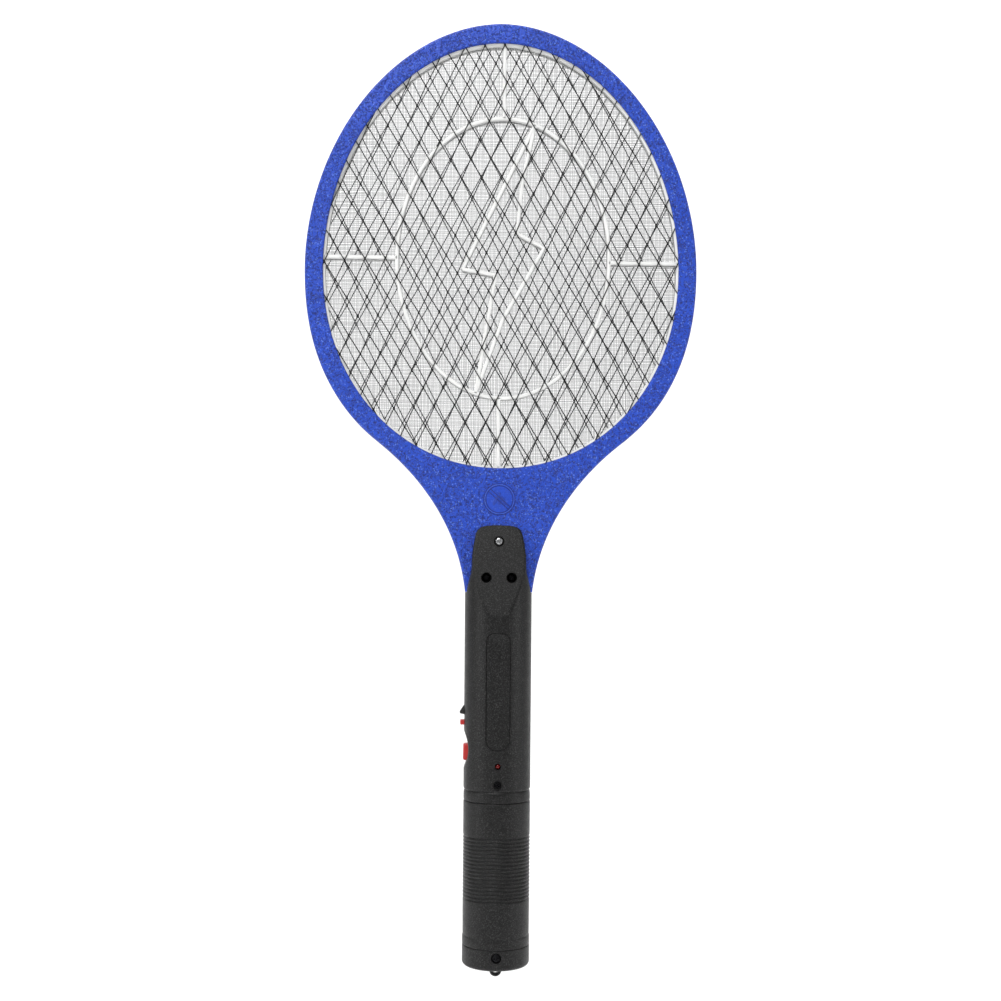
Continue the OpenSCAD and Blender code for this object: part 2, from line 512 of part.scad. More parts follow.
module component_leads() color([0.80, 0.80, 0.82]) {
    for (x = [2.4, 5.7, 9.0]) {
        for (z = [[110.18, -1], [115.42, 1]]) {
            slab(x - 0.25, x + 0.25, z[0] + (z[1] < 0 ? -0.9 : 0), z[0] + (z[1] < 0 ? 0 : 0.9), 0.05, 0.55);
            slab(x - 0.25, x + 0.25, z[0] + (z[1] < 0 ? -0.9 : 0.4), z[0] + (z[1] < 0 ? -0.4 : 0.9), 0.3, pcb_y - 0.02);
        }
        slab(x - 0.22, x + 0.22, 121.02, 121.9, 0.5, 0.94);
        slab(x - 0.22, x + 0.22, 121.46, 121.9, 0.7, pcb_y - 0.02);
        slab(x - 0.22, x + 0.22, 116.7, 117.38, 0.5, 0.94);
        slab(x - 0.22, x + 0.22, 116.7, 117.14, 0.7, pcb_y - 0.02);
    }
    for (x = [1.3, 2.6, 3.9]) along_y(x, 104.2, -1.38, pcb_y - 0.02, 0.25, fn = 16);
    for (x = [-5, 5]) along_y(x, 144.6, 1.02, pcb_y - 0.02, 0.3, fn = 16);
    for (x = [-1.27, 1.27]) along_y(x, led_z, -10.98, pcb_y - 0.02, 0.25, fn = 16);
}
module indicator_led() color([0.80, 0.10, 0.10]) {
    along_y(0, led_z, -12, -11, 1.9, fn = 32);
    along_y(0, led_z, -14.9, -11.5, 1.5, fn = 32);
    intersection() {
        translate([0, -14.6, led_z]) sphere(r = 1.5, $fn = 32);
        slab(-2, 2, led_z - 2, led_z + 2, -17, -14.6);
    }
}
module push_switch_body() color([0.16, 0.16, 0.17]) difference() {
    slab(-9, -2.5, 96.1, 103.1, -3.4, pcb_y - 0.03);
    along_x(0, button_z, -9.5, -5.2, 1.28);
}
module push_switch_plunger() color([0.9, 0.9, 0.88]) along_x(0, button_z, -10.75, -7.5, 1.2);
module slide_switch_body() color([0.70, 0.70, 0.72]) difference() {
    slab(-9.2, -3.6, 108.9, 119.5, -3.3, pcb_y - 0.03);
    slab(-9.5, -6.4, slide_z - 1.2, slide_z + 3.6, -1.1, 1.1);
}
module slide_switch_lever() color([0.10, 0.10, 0.11]) slab(-12.47, -6.9, slide_z - 1.0, slide_z + 1.0, -0.95, 0.95);

// -------- controls --------
module fire_button() color([0.72, 0.13, 0.12]) {
    intersection() {
        slab(-16.4, -11.7, button_z - 4, button_z + 4, -3.2, 3.2);
        translate([-6.4, 0, button_z]) rotate([90, 0, 0]) cylinder(h = 20, r = 10.3, center = true, $fn = 96);
        translate([-3.4, 0, button_z - 10]) cylinder(h = 20, r = 13.1, $fn = 96);
    }
    slab(-11.8, -10.8, button_z - 5, button_z + 5, -4.4, 4.4);
}
module slide_knob() color([0.72, 0.13, 0.12]) {
    slab(-17.8, -13.2, slide_z - 1.2, slide_z + 1.2, -2.0, 2.0);
    slab(-13.3, -12.5, slide_z - 3.6, slide_z + 4.6, -3.6, 3.6);
}

front_frame();
rear_frame();
front_grid();
rear_grid();
center_grid();
front_spacer();
rear_spacer();
grid_lead_outer();
grid_lead_center();
handle_front();
handle_rear();
battery_tube();
end_cap();
neck_screws();
shell_screw();
cap_screw();
battery_left();
battery_right();
cap_link_plate();
cap_springs();
contact_carrier();
contact_positive();
contact_negative();
battery_lead_red();
battery_lead_black();
pcb();
transformer_core();
transformer_bobbin();
transformer_winding();
hv_capacitor();
transistor();
diodes();
resistors();
component_leads();
indicator_led();
push_switch_body();
push_switch_plunger();
slide_switch_body();
slide_switch_lever();
fire_button();
slide_knob();
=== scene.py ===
import bpy
import json
import math
import numpy as np
from mathutils import Matrix, Vector
from mathutils.geometry import delaunay_2d_cdt


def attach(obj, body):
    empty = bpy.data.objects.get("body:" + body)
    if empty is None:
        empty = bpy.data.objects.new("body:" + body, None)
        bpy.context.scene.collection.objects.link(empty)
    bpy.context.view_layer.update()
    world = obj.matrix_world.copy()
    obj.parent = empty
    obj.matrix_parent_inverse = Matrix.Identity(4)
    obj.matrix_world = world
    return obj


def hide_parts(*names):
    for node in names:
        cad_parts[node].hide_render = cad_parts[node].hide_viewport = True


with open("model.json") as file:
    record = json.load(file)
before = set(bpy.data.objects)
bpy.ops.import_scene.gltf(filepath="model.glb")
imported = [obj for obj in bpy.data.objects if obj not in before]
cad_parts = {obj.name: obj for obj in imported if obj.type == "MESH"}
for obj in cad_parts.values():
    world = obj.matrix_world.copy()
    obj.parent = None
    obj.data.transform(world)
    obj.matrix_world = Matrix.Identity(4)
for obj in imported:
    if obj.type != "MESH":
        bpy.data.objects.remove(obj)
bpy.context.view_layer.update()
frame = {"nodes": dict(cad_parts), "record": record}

# ------------------------------------------------------------------ dimensions, millimetres
MID = 329.7
HOOP = dict(a=93.5, bu=117.3, nu=1.92, bl=99.7, nl=2.227)
OPEN = dict(a=84.8, bu=108.0, nu=1.95, bl=94.6, nl=2.07)
NECK_Z, JOIN_Z = 176.0, 248.5
HT = 4.6
R = 16.0
SEAM = 76.6
TIP = 207.8
TOP_SCREW = (0.0, 200.1)
LOW_SCREWS = ((-6.0, 182.9), (6.0, 182.9))
EMBLEM = 220.2
SHELL_SCREW, CAP_SCREW, LED = 85.4, 4.4, 94.2
BUTTON, SLIDE = 99.6, 113.7


# ------------------------------------------------------------------ mesh helpers
def obj_from(name, verts, faces, mat, body="racket", slot=None, sharp=38.0):
    me = bpy.data.meshes.new(name)
    me.from_pydata([tuple(float(c) * 0.001 for c in v) for v in verts], [], [tuple(int(i) for i in f) for f in faces])
    me.validate()
    me.update()
    for p in me.polygons:
        p.use_smooth = True
    me.set_sharp_from_angle(angle=math.radians(sharp))
    o = bpy.data.objects.new(name, me)
    bpy.context.scene.collection.objects.link(o)
    if mat is not None:
        me.materials.append(mat)
        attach(o, body)
    return o


class Builder:
    """Collects vertices and faces of one mesh."""

    def __init__(self):
        self.v, self.f = [], []

    def add(self, verts, faces):
        k = len(self.v)
        self.v.extend([tuple(p) for p in verts])
        self.f.extend([tuple(i + k for i in f) for f in faces])

    def strip(self, rows, close_u=True, cap0=False, cap1=False, flip=False):
        """Quads between rows of equal length."""
        k, n = len(self.v), len(rows[0])
        for r in rows:
            self.v.extend([tuple(p) for p in r])
        for j in range(len(rows) - 1):
            for i in range(n if close_u else n - 1):
                a, b = k + j * n + i, k + j * n + (i + 1) % n
                c, d = b + n, a + n
                self.f.append((a, d, c, b) if flip else (a, b, c, d))
        if cap0:
            f = tuple(k + i for i in range(n))
            self.f.append(f if flip else f[::-1])
        if cap1:
            f = tuple(k + (len(rows) - 1) * n + i for i in range(n))
            self.f.append(f[::-1] if flip else f)

    def obj(self, name, mat, **kw):
        return obj_from(name, self.v, self.f, mat, **kw)


def normals_out(obj):
    import bmesh
    bm = bmesh.new()
    bm.from_mesh(obj.data)
    bmesh.ops.remove_doubles(bm, verts=bm.verts, dist=1e-7)
    bmesh.ops.recalc_face_normals(bm, faces=bm.faces)
    bm.to_mesh(obj.data)
    bm.free()


def temp(name, b):
    o = b.obj(name, None)
    normals_out(o)
    return o


def boolean(obj, others, how="DIFFERENCE", sharp=30.0, own=False):
    """Cuts or joins plain helper solids, and removes them. The solver works in millimetres."""
    for c in [obj] + list(others):
        c.data.transform(Matrix.Scale(1000.0, 4))
    for k, c in enumerate(others):
        m = obj.modifiers.new("cut%d" % k, "BOOLEAN")
        m.operation, m.solver, m.object, m.use_self = how, "EXACT", c, own
    dg = bpy.context.evaluated_depsgraph_get()
    dg.update()
    me = bpy.data.meshes.new_from_object(obj.evaluated_get(dg))
    me.transform(Matrix.Scale(0.001, 4))
    obj.modifiers.clear()
    old = obj.data
    obj.data = me
    bpy.data.meshes.remove(old)
    for c in others:
        d = c.data
        bpy.data.objects.remove(c)
        bpy.data.meshes.remove(d)
    for p in obj.data.polygons:
        p.use_smooth = True
    obj.data.set_sharp_from_angle(angle=math.radians(sharp))
    return obj


def lathe(profile, n=96, axis="z", at=(0, 0, 0), turn=0.0, start=0.0):
    """Revolves (r, h) pairs about an axis through at. The ends on the axis are closed by caps."""
    b = Builder()
    rows = []
    for r, h in profile:
        row = []
        for i in range(n):
            a = 2 * math.pi * i / n + start
            c, s = r * math.cos(a), r * math.sin(a)
            if axis == "z":
                p = (at[0] + c, at[1] + s, at[2] + h)
            elif axis == "y":
                p = (at[0] + c, at[1] + h, at[2] + s)
            else:
                p = (at[0] + h, at[1] + c, at[2] + s)
            row.append(p)
        rows.append(row)
    b.strip(rows, cap0=profile[0][0] > 1e-6, cap1=profile[-1][0] > 1e-6, flip=axis == "y")
    return b


def merge(*bs):
    out = Builder()
    for b in bs:
        out.add(b.v, b.f)
    return out


def box_b(x0, x1, y0, y1, z0, z1):
    b = Builder()
    v = [(x, y, z) for z in (z0, z1) for y in (y0, y1) for x in (x0, x1)]
    b.add(v, [(0, 2, 3, 1), (4, 5, 7, 6), (0, 1, 5, 4), (2, 6, 7, 3), (0, 4, 6, 2), (1, 3, 7, 5)])
    return b


def tube(points, r, n=8, closed=False):
    """Round wire through points, with a carried frame."""
    p = [Vector(q) for q in points]
    m = len(p)
    t = []
    for i in range(m):
        a = p[(i - 1) % m] if closed or i else p[0]
        c = p[(i + 1) % m] if closed or i < m - 1 else p[-1]
        t.append((c - a).normalized())
    u = t[0].orthogonal().normalized()
    rows = []
    for i in range(m):
        u = (u - t[i] * u.dot(t[i])).normalized()
        v = t[i].cross(u)
        rr = r[i] if isinstance(r, (list, tuple)) else r
        rows.append([tuple(p[i] + u * rr * math.cos(2 * math.pi * k / n) + v * rr * math.sin(2 * math.pi * k / n)) for k in range(n)])
    b = Builder()
    if closed:
        rows.append(rows[0])
    b.strip(rows, cap0=not closed, cap1=not closed)
    return b


def rounded_prism(poly, lo, hi, rad, axis="y", steps=4):
    """A convex outline (counter-clockwise (a, b) pairs) swept from lo to hi with rounded rims."""
    pts = np.array(poly, float)
    n = len(pts)
    t = np.roll(pts, -1, 0) - np.roll(pts, 1, 0)
    t /= np.linalg.norm(t, axis=1)[:, None]
    nrm = np.stack([t[:, 1], -t[:, 0]], 1)
    rows = []
    prof = [(rad * (1 - math.cos(a)), lo + rad * (1 - math.sin(a))) for a in np.linspace(math.pi / 2, 0, steps + 1)]
    prof = [(rad - rad * math.sin(a), lo + rad - rad * math.cos(a)) for a in np.linspace(0, math.pi / 2, steps + 1)]
    prof += [(rad - rad * math.cos(a), hi - rad + rad * math.sin(a)) for a in np.linspace(0, math.pi / 2, steps + 1)]
    for d, h in prof:
        q = pts - nrm * d
        if axis == "y":
            rows.append([(x, h, z) for x, z in q])
        elif axis == "x":
            rows.append([(h, y, z) for y, z in q])
        else:
            rows.append([(x, y, h) for x, y in q])
    b = Builder()
    b.strip(rows, cap0=True, cap1=True, flip=axis == "y")
    return b


def rounded_rect(w, h, r, n=6, cx=0.0, cy=0.0):
    out = []
    for k, (sx, sy) in enumerate(((1, 1), (-1, 1), (-1, -1), (1, -1))):
        for i in range(n + 1):
            a = math.pi / 2 * (k + i / n)
            out.append((cx + sx * (w / 2 - r) + r * math.cos(a), cy + sy * (h / 2 - r) + r * math.sin(a)))
    return out


# ------------------------------------------------------------------ curves
def spow(v, e):
    return math.copysign(abs(v) ** e, v)


def egg_at(t, a, bu, nu, bl, nl):
    s, c = math.sin(t), math.cos(t)
    n, b = (nu, bu) if s >= 0 else (nl, bl)
    return np.array([a * spow(c, 2 / n), MID + b * spow(s, 2 / n)])


def even(pts, n, closed):
    """The same curve with n points at even spacing."""
    p = np.array(pts, float)
    if closed:
        p = np.vstack([p, p[:1]])
    d = np.concatenate([[0], np.cumsum(np.linalg.norm(np.diff(p, axis=0), axis=1))])
    s = np.linspace(0, d[-1], n + 1 if closed else n)
    out = np.stack([np.interp(s, d, p[:, k]) for k in range(2)], 1)
    return out[:-1] if closed else out


def egg(n=720, **e):
    fine = [egg_at(2 * math.pi * i / 2880, **e) for i in range(2880)]
    return even(fine, n, True)


def bez(a, b, c, d, t):
    return (1 - t) ** 3 * a + 3 * t * (1 - t) ** 2 * b + 3 * t * t * (1 - t) * c + t ** 3 * d


def head_side(n=420):
    """Right side of the head's outline, from the handle to the crown."""
    jt = -math.asin(((MID - JOIN_Z) / HOOP["bl"]) ** (HOOP["nl"] / 2))
    jp = egg_at(jt, **HOOP)
    a = [bez(np.array([R + 0.05, NECK_Z]), np.array([20.9, 220.5]), jp - 3.6 * np.array([1.16, 1.0]), jp, t) for t in np.linspace(0, 1, 200)]
    b = [egg_at(t, **HOOP) for t in np.linspace(jt, math.pi / 2, 1200)[1:]]
    p = np.array(a + b)
    # soften the joint of the two curves
    p = even(p, 900, False)
    k = np.ones(15) / 15
    q = p.copy()
    for c in range(2):
        q[7:-7, c] = np.convolve(p[:, c], k, "valid")
    q[:10], q[-10:] = p[:10], p[-10:]
    return even(q, n, False)


def normals2(p, closed=True):
    if closed:
        t = np.roll(p, -1, 0) - np.roll(p, 1, 0)
    else:
        t = np.gradient(p, axis=0)
    t /= np.linalg.norm(t, axis=1)[:, None]
    return np.stack([t[:, 1], -t[:, 0]], 1)


def inside(poly, q):
    """Which of the points q lie inside the closed outline?"""
    x, y = q[:, 0][:, None], q[:, 1][:, None]
    x0, y0 = poly[:, 0][None], poly[:, 1][None]
    x1, y1 = np.roll(poly[:, 0], -1)[None], np.roll(poly[:, 1], -1)[None]
    hit = ((y0 > y) != (y1 > y)) & (x < (x1 - x0) * (y - y0) / np.where(y1 == y0, 1e-12, y1 - y0) + x0)
    return hit.sum(1) % 2 == 1


def flat_fill(outer, holes, y, b, flip, spread=None):
    """Triangulates a flat face at depth y between outlines and adds it to the builder."""
    verts, edges = [], []
    for loop in [outer] + holes:
        k = len(verts)
        verts += [Vector((float(p[0]), float(p[1]))) for p in loop]
        edges += [(k + i, k + (i + 1) % len(loop)) for i in range(len(loop))]
    ov, _, of, *_ = delaunay_2d_cdt(verts, edges, [], 1, 1e-7)
    pts = np.array([(v.x, v.y) for v in ov])
    tri = np.array([f for f in of])
    mid = pts[tri].mean(1)
    keep = inside(np.array(outer), mid)
    for h in holes:
        keep &= ~inside(np.array(h), mid)
    tri = tri[keep]
    a, c, d = pts[tri[:, 0]], pts[tri[:, 1]], pts[tri[:, 2]]
    ccw = ((c - a)[:, 0] * (d - a)[:, 1] - (c - a)[:, 1] * (d - a)[:, 0]) > 0
    # a counter-clockwise triangle in (x, z) faces -Y
    faces = [tuple(t if k != flip else t[::-1]) for t, k in zip(tri, ccw)]
    b.add([(p[0], y, p[1]) for p in pts], faces)


# ------------------------------------------------------------------ materials
def srgb(r, g, b):
    def f(c):
        c /= 255.0
        return c / 12.92 if c <= 0.04045 else ((c + 0.055) / 1.055) ** 2.4
    return (f(r), f(g), f(b), 1.0)


class Mat:
    """A small wrapper that builds a procedural surface around a Principled shader."""

    def __init__(self, name):
        self.m = bpy.data.materials.new(name)
        self.m.use_nodes = True
        self.t = self.m.node_tree
        self.n = self.t.nodes
        self.b = self.n["Principled BSDF"]
        tc = self.n.new("ShaderNodeTexCoord")
        self.co = tc.outputs["Object"]
        self.h = None

    def link(self, a, b):
        self.t.links.new(a, b)

    def noise(self, scale, detail=4.0, rough=0.55, distort=0.0, co=None):
        x = self.n.new("ShaderNodeTexNoise")
        x.inputs["Scale"].default_value = scale
        x.inputs["Detail"].default_value = detail
        x.inputs["Roughness"].default_value = rough
        x.inputs["Distortion"].default_value = distort
        self.link(co or self.co, x.inputs["Vector"])
        return x.outputs["Fac"]

    def voronoi(self, scale, feature="F1", rnd=1.0, co=None):
        x = self.n.new("ShaderNodeTexVoronoi")
        x.feature = feature
        x.inputs["Scale"].default_value = scale
        x.inputs["Randomness"].default_value = rnd
        self.link(co or self.co, x.inputs["Vector"])
        return x.outputs["Distance"]

    def warp(self, scale, amount):
        """Object coordinates pushed about by noise."""
        x = self.n.new("ShaderNodeTexNoise")
        x.inputs["Scale"].default_value = scale
        x.inputs["Detail"].default_value = 2.0
        self.link(self.co, x.inputs["Vector"])
        s = self.n.new("ShaderNodeVectorMath")
        s.operation = "SUBTRACT"
        self.link(x.outputs["Color"], s.inputs[0])
        s.inputs[1].default_value = (0.5, 0.5, 0.5)
        k = self.n.new("ShaderNodeVectorMath")
        k.operation = "SCALE"
        self.link(s.outputs[0], k.inputs[0])
        k.inputs["Scale"].default_value = amount
        a = self.n.new("ShaderNodeVectorMath")
        a.operation = "ADD"
        self.link(self.co, a.inputs[0])
        self.link(k.outputs[0], a.inputs[1])
        return a.outputs[0]

    def math(self, op, a, b=None, clamp=False):
        x = self.n.new("ShaderNodeMath")
        x.operation = op
        x.use_clamp = clamp
        for i, v in enumerate((a, b)):
            if v is None:
                continue
            if isinstance(v, (int, float)):
                x.inputs[i].default_value = v
            else:
                self.link(v, x.inputs[i])
        return x.outputs[0]

    def range(self, v, a, b, c, d):
        x = self.n.new("ShaderNodeMapRange")
        self.link(v, x.inputs["Value"])
        for k, val in zip(("From Min", "From Max", "To Min", "To Max"), (a, b, c, d)):
            x.inputs[k].default_value = val
        return x.outputs["Result"]

    def mix(self, fac, a, b):
        x = self.n.new("ShaderNodeMix")
        x.data_type = "RGBA"
        if isinstance(fac, (int, float)):
            x.inputs["Factor"].default_value = fac
        else:
            self.link(fac, x.inputs["Factor"])
        for s, v in (("A", a), ("B", b)):
            i = [q for q in x.inputs if q.name == s and q.type == "RGBA"][0]
            if isinstance(v, tuple):
                i.default_value = v
            else:
                self.link(v, i)
        return [q for q in x.outputs if q.type == "RGBA"][0]

    def color(self, v):
        if isinstance(v, tuple):
            self.b.inputs["Base Color"].default_value = v
        else:
            self.link(v, self.b.inputs["Base Color"])

    def rough(self, v):
        if isinstance(v, (int, float)):
            self.b.inputs["Roughness"].default_value = v
        else:
            self.link(v, self.b.inputs["Roughness"])

    def bump(self, height, strength, distance_mm):
        x = self.n.new("ShaderNodeBump")
        x.inputs["Strength"].default_value = strength
        x.inputs["Distance"].default_value = distance_mm * 0.001
        self.link(height, x.inputs["Height"])
        if self.h is not None:
            self.link(self.h, x.inputs["Normal"])
        self.h = x.outputs["Normal"]
        self.link(self.h, self.b.inputs["Normal"])

    def set(self, **kw):
        for k, v in kw.items():
            self.b.inputs[k.replace("_", " ")].default_value = v
        return self

    def split(self):
        x = self.n.new("ShaderNodeSeparateXYZ")
        self.link(self.co, x.inputs[0])
        return x.outputs


def plastic(name, dark, light, rough=(0.42, 0.56), grain=1400, depth=0.03, spec=0.5, scuff=0.25):
    m = Mat(name)
    big = m.noise(18, 3)
    fine = m.noise(grain, 3, 0.6)
    mid = m.noise(120, 4)
    m.color(m.mix(m.range(m.math("ADD", m.math("MULTIPLY", big, 0.6), m.math("MULTIPLY", mid, 0.4)), 0.3, 0.7, 0, 1), dark, light))
    m.rough(m.range(m.math("ADD", m.math("MULTIPLY", mid, 1 - scuff), m.math("MULTIPLY", m.noise(260, 5, 0.6, 1.0), scuff)), 0.3, 0.7, rough[0], rough[1]))
    m.bump(mid, 0.12, 0.05)
    m.bump(fine, 0.35, depth)
    m.set(Specular_IOR_Level=spec)
    return m


def metal(name, color, dark, rough=(0.25, 0.45), grain=900, depth=0.02, metallic=1.0):
    m = Mat(name)
    n1 = m.noise(90, 5, 0.6)
    m.color(m.mix(m.range(n1, 0.35, 0.7, 0, 1), color, dark))
    m.rough(m.range(m.noise(400, 4), 0.3, 0.7, rough[0], rough[1]))
    m.bump(m.noise(grain, 3), 0.3, depth)
    m.set(Metallic=metallic)
    return m


def make_materials():
    M = {}
    # blue head: moulded leather grain, smooth round the emblem
    m = Mat("blue_leather_grain")
    w = m.warp(420, 0.0016)
    n1 = m.noise(760, 2, 0.5, 0.8, w)
    n2 = m.noise(900, 2, 0.5, 0.4, w)
    # thin wandering creases, broken by a second field
    crease = m.range(m.math("ABSOLUTE", m.math("SUBTRACT", n1, 0.5)), 0.015, 0.075, 1.0, 0.0)
    crease = m.math("MULTIPLY", crease, m.range(n2, 0.44, 0.53, 0.0, 1.0))
    pits = m.range(m.voronoi(860, "F1", 1.0, w), 0.2, 0.42, 1.0, 0.0)
    pits = m.math("MULTIPLY", pits, m.range(m.noise(300, 2), 0.42, 0.55, 0.0, 1.0))
    dents = m.math("MAXIMUM", crease, pits)
    knobs = m.range(m.voronoi(900, "F1", 1.0, m.warp(300, 0.001)), 0.18, 0.4, 1.0, 0.0)
    knobs = m.math("MULTIPLY", knobs, m.range(m.noise(410, 2), 0.45, 0.57, 0.0, 1.0))
    x, y, z = m.split()
    dx = m.math("MULTIPLY", x, 1000.0)
    dz = m.math("SUBTRACT", m.math("MULTIPLY", z, 1000.0), EMBLEM)
    rad = m.math("SQRT", m.math("ADD", m.math("MULTIPLY", dx, dx), m.math("MULTIPLY", dz, dz)))
    plain = m.range(rad, 6.6, 7.9, 0.25, 1.0)
    # the side walls of the halves are nearly plain too
    ay = m.math("ABSOLUTE", m.math("MULTIPLY", y, 1000.0))
    plain = m.math("MULTIPLY", plain, m.range(ay, 3.3, 4.2, 0.25, 1.0), clamp=True)
    dents = m.math("MULTIPLY", dents, plain)
    knobs = m.math("MULTIPLY", knobs, plain)
    soft = m.math("MULTIPLY", m.math("SUBTRACT", m.noise(640, 3), 0.5), plain)
    base = m.mix(m.range(m.noise(60, 3), 0.35, 0.7, 0.0, 1.0), srgb(30, 72, 192), srgb(36, 78, 202))
    # painted shade: the grain's creases and pits are coloured darker than the plastic
    base = m.mix(m.math("MULTIPLY", dents, 0.85), base, srgb(7, 19, 90))
    # painted highlight: the grain's raised knobs are coloured lighter than the plastic
    base = m.mix(m.math("MULTIPLY", knobs, 0.74), base, srgb(100, 141, 244))
    # painted shade: darker blue where the edges turn over and on the side walls, which fall into shade
    base = m.mix(m.range(ay, 3.3, 4.05, 0.62, 0.0), base, srgb(14, 26, 86))
    # emblem: painted shade in the grooves beside the raised ring and along the slash, a painted highlight on the
    # ring's crest, darker winged shape
    low = m.range(y, -0.0040, -0.0039, 1.0, 0.0)
    ringd = m.math("ABSOLUTE", m.math("SUBTRACT", rad, 6.95))
    edge = m.math("MULTIPLY", m.range(m.math("ABSOLUTE", m.math("SUBTRACT", ringd, 0.5)), 0.12, 0.34, 1.0, 0.0), low)
    base = m.mix(m.math("MULTIPLY", edge, 0.85), base, srgb(16, 34, 116))
    # painted highlight along the crest of the raised ring
    base = m.mix(m.math("MULTIPLY", m.math("MULTIPLY", m.range(ringd, 0.16, 0.32, 1.0, 0.0), low), 0.15), base, srgb(110, 142, 230))
    within = m.math("MULTIPLY", m.range(rad, 6.3, 6.5, 1.0, 0.0), low)
    c42, s42 = math.cos(math.radians(-42)), math.sin(math.radians(-42))
    u = m.math("ADD", m.math("MULTIPLY", dx, -s42), m.math("MULTIPLY", dz, c42))
    slash = m.math("MULTIPLY", m.range(m.math("ABSOLUTE", m.math("SUBTRACT", m.math("ABSOLUTE", u), 0.72)), 0.15, 0.36, 1.0, 0.0), within)
    blob = None
    for cx, cz, ra, rb, tilt in ((0.1, -0.4, 0.95, 2.5, 4), (-1.7, -0.6, 0.9, 2.5, -28), (1.9, -0.6, 0.9, 2.5, 28), (0.1, 2.6, 0.8, 0.7, 0)):
        ct, st = math.cos(math.radians(tilt)), math.sin(math.radians(tilt))
        ex = m.math("SUBTRACT", dx, cx)
        ez = m.math("SUBTRACT", dz, cz)
        e1 = m.math("DIVIDE", m.math("ADD", m.math("MULTIPLY", ex, ct), m.math("MULTIPLY", ez, st)), ra)
        e2 = m.math("DIVIDE", m.math("ADD", m.math("MULTIPLY", ex, -st), m.math("MULTIPLY", ez, ct)), rb)
        q = m.range(m.math("ADD", m.math("MULTIPLY", e1, e1), m.math("MULTIPLY", e2, e2)), 0.75, 1.1, 1.0, 0.0)
        blob = q if blob is None else m.math("MAXIMUM", blob, q)
    blob = m.math("MULTIPLY", m.math("MULTIPLY", blob, within), 0.45)
    base = m.mix(blob, base, srgb(24, 42, 122))
    base = m.mix(m.math("MULTIPLY", slash, 0.75), base, srgb(22, 38, 116))
    m.color(base)
    m.rough(m.range(m.noise(500, 3), 0.3, 0.7, 0.34, 0.46))
    m.bump(m.math("ADD", m.math("SUBTRACT", m.math("MULTIPLY", knobs, 0.7), dents), m.math("MULTIPLY", soft, 1.2)), 0.9, 0.2)
    m.set(Specular_IOR_Level=0.5)
    M["head_blue"] = m.m

    # handle: charcoal with a very fine spark texture
    m = Mat("charcoal_plastic")
    speck = m.noise(2000, 3, 0.7)
    base = m.mix(m.range(m.noise(40, 4), 0.35, 0.65, 0, 1), srgb(12, 12, 12), srgb(17, 17, 17))
    base = m.mix(m.range(speck, 0.50, 0.70, 0.0, 0.8), base, srgb(72, 72, 72))
    m.color(base)
    m.rough(m.range(m.noise(300, 5, 0.6), 0.3, 0.7, 0.36, 0.48))
    m.bump(speck, 0.8, 0.09)
    m.bump(m.noise(90, 3), 0.12, 0.08)
    m.set(Specular_IOR_Level=0.28)
    M["handle_charcoal"] = m.m
    # painted shade: a darker copy of the screw steel, for the screws that sit deep in their holes
    m = metal("screw_steel_painted_shade", srgb(40, 40, 42), srgb(22, 22, 24), rough=(0.34, 0.5), grain=2500, depth=0.015)
    M["screw_dark"] = m.m
    m = metal("dull_wire", srgb(15, 15, 16), srgb(6, 6, 7), rough=(0.45, 0.65), grain=1500, metallic=0.15)
    M["grid_wire"] = m.m
    m = metal("fine_wire", srgb(122, 123, 125), srgb(92, 93, 96), rough=(0.4, 0.6), grain=700, metallic=0.5)
    M["mesh_wire"] = m.m
    m = plastic("spacer_plastic", srgb(238, 239, 238), srgb(248, 248, 246), rough=(0.38, 0.5), grain=900, depth=0.02)
    M["spacer_white"] = m.m
    m = metal("zinc_steel", srgb(215, 216, 218), srgb(165, 167, 170), rough=(0.2, 0.36), grain=2500, depth=0.015)
    M["screw_steel"] = m.m
    m = plastic("red_control", srgb(176, 34, 34), srgb(204, 52, 48), rough=(0.36, 0.5), grain=1800, depth=0.025)
    M["control_red"] = m.m
    m = plastic("led_lens", srgb(112, 12, 12), srgb(150, 20, 18), rough=(0.12, 0.2), grain=600, depth=0.01)
    m.set(Transmission_Weight=0.35, IOR=1.5)
    M["led_red"] = m.m
    m = metal("cell_sleeve", srgb(206, 132, 40), srgb(176, 104, 28), rough=(0.25, 0.4), metallic=0.5)
    x, y, z = m.split()
    band = m.range(z, 0.0505, 0.0508, 0.0, 1.0)
    m.color(m.mix(band, srgb(38, 38, 40), srgb(206, 132, 40)))
    M["cell_wrap"] = m.m
    M["contact_nickel"] = metal("nickel_plate", srgb(210, 208, 200), srgb(170, 168, 160), rough=(0.2, 0.35)).m
    M["carrier_black"] = plastic("carrier_plastic", srgb(26, 26, 28), srgb(38, 38, 40)).m
    M["lead_red"] = plastic("red_insulation", srgb(170, 22, 20), srgb(200, 34, 28), rough=(0.4, 0.55)).m
    M["lead_black"] = plastic("black_insulation", srgb(20, 20, 22), srgb(34, 34, 36), rough=(0.4, 0.55)).m
    M["board_phenolic"] = plastic("phenolic_board", srgb(140, 98, 46), srgb(172, 126, 66), rough=(0.45, 0.6), grain=1000).m
    M["ferrite"] = plastic("ferrite_core", srgb(38, 38, 42), srgb(56, 56, 60), rough=(0.5, 0.7), grain=900, depth=0.05).m
    M["winding_tape"] = plastic("winding_tape", srgb(206, 172, 40), srgb(226, 194, 66), rough=(0.3, 0.42)).m
    M["capacitor_epoxy"] = plastic("capacitor_dip", srgb(128, 30, 18), srgb(156, 42, 26), rough=(0.16, 0.28)).m
    M["component_black"] = plastic("component_epoxy", srgb(18, 18, 20), srgb(32, 32, 34), rough=(0.4, 0.6)).m
    M["resistor_body"] = plastic("resistor_lacquer", srgb(196, 166, 112), srgb(216, 188, 136), rough=(0.3, 0.4)).m
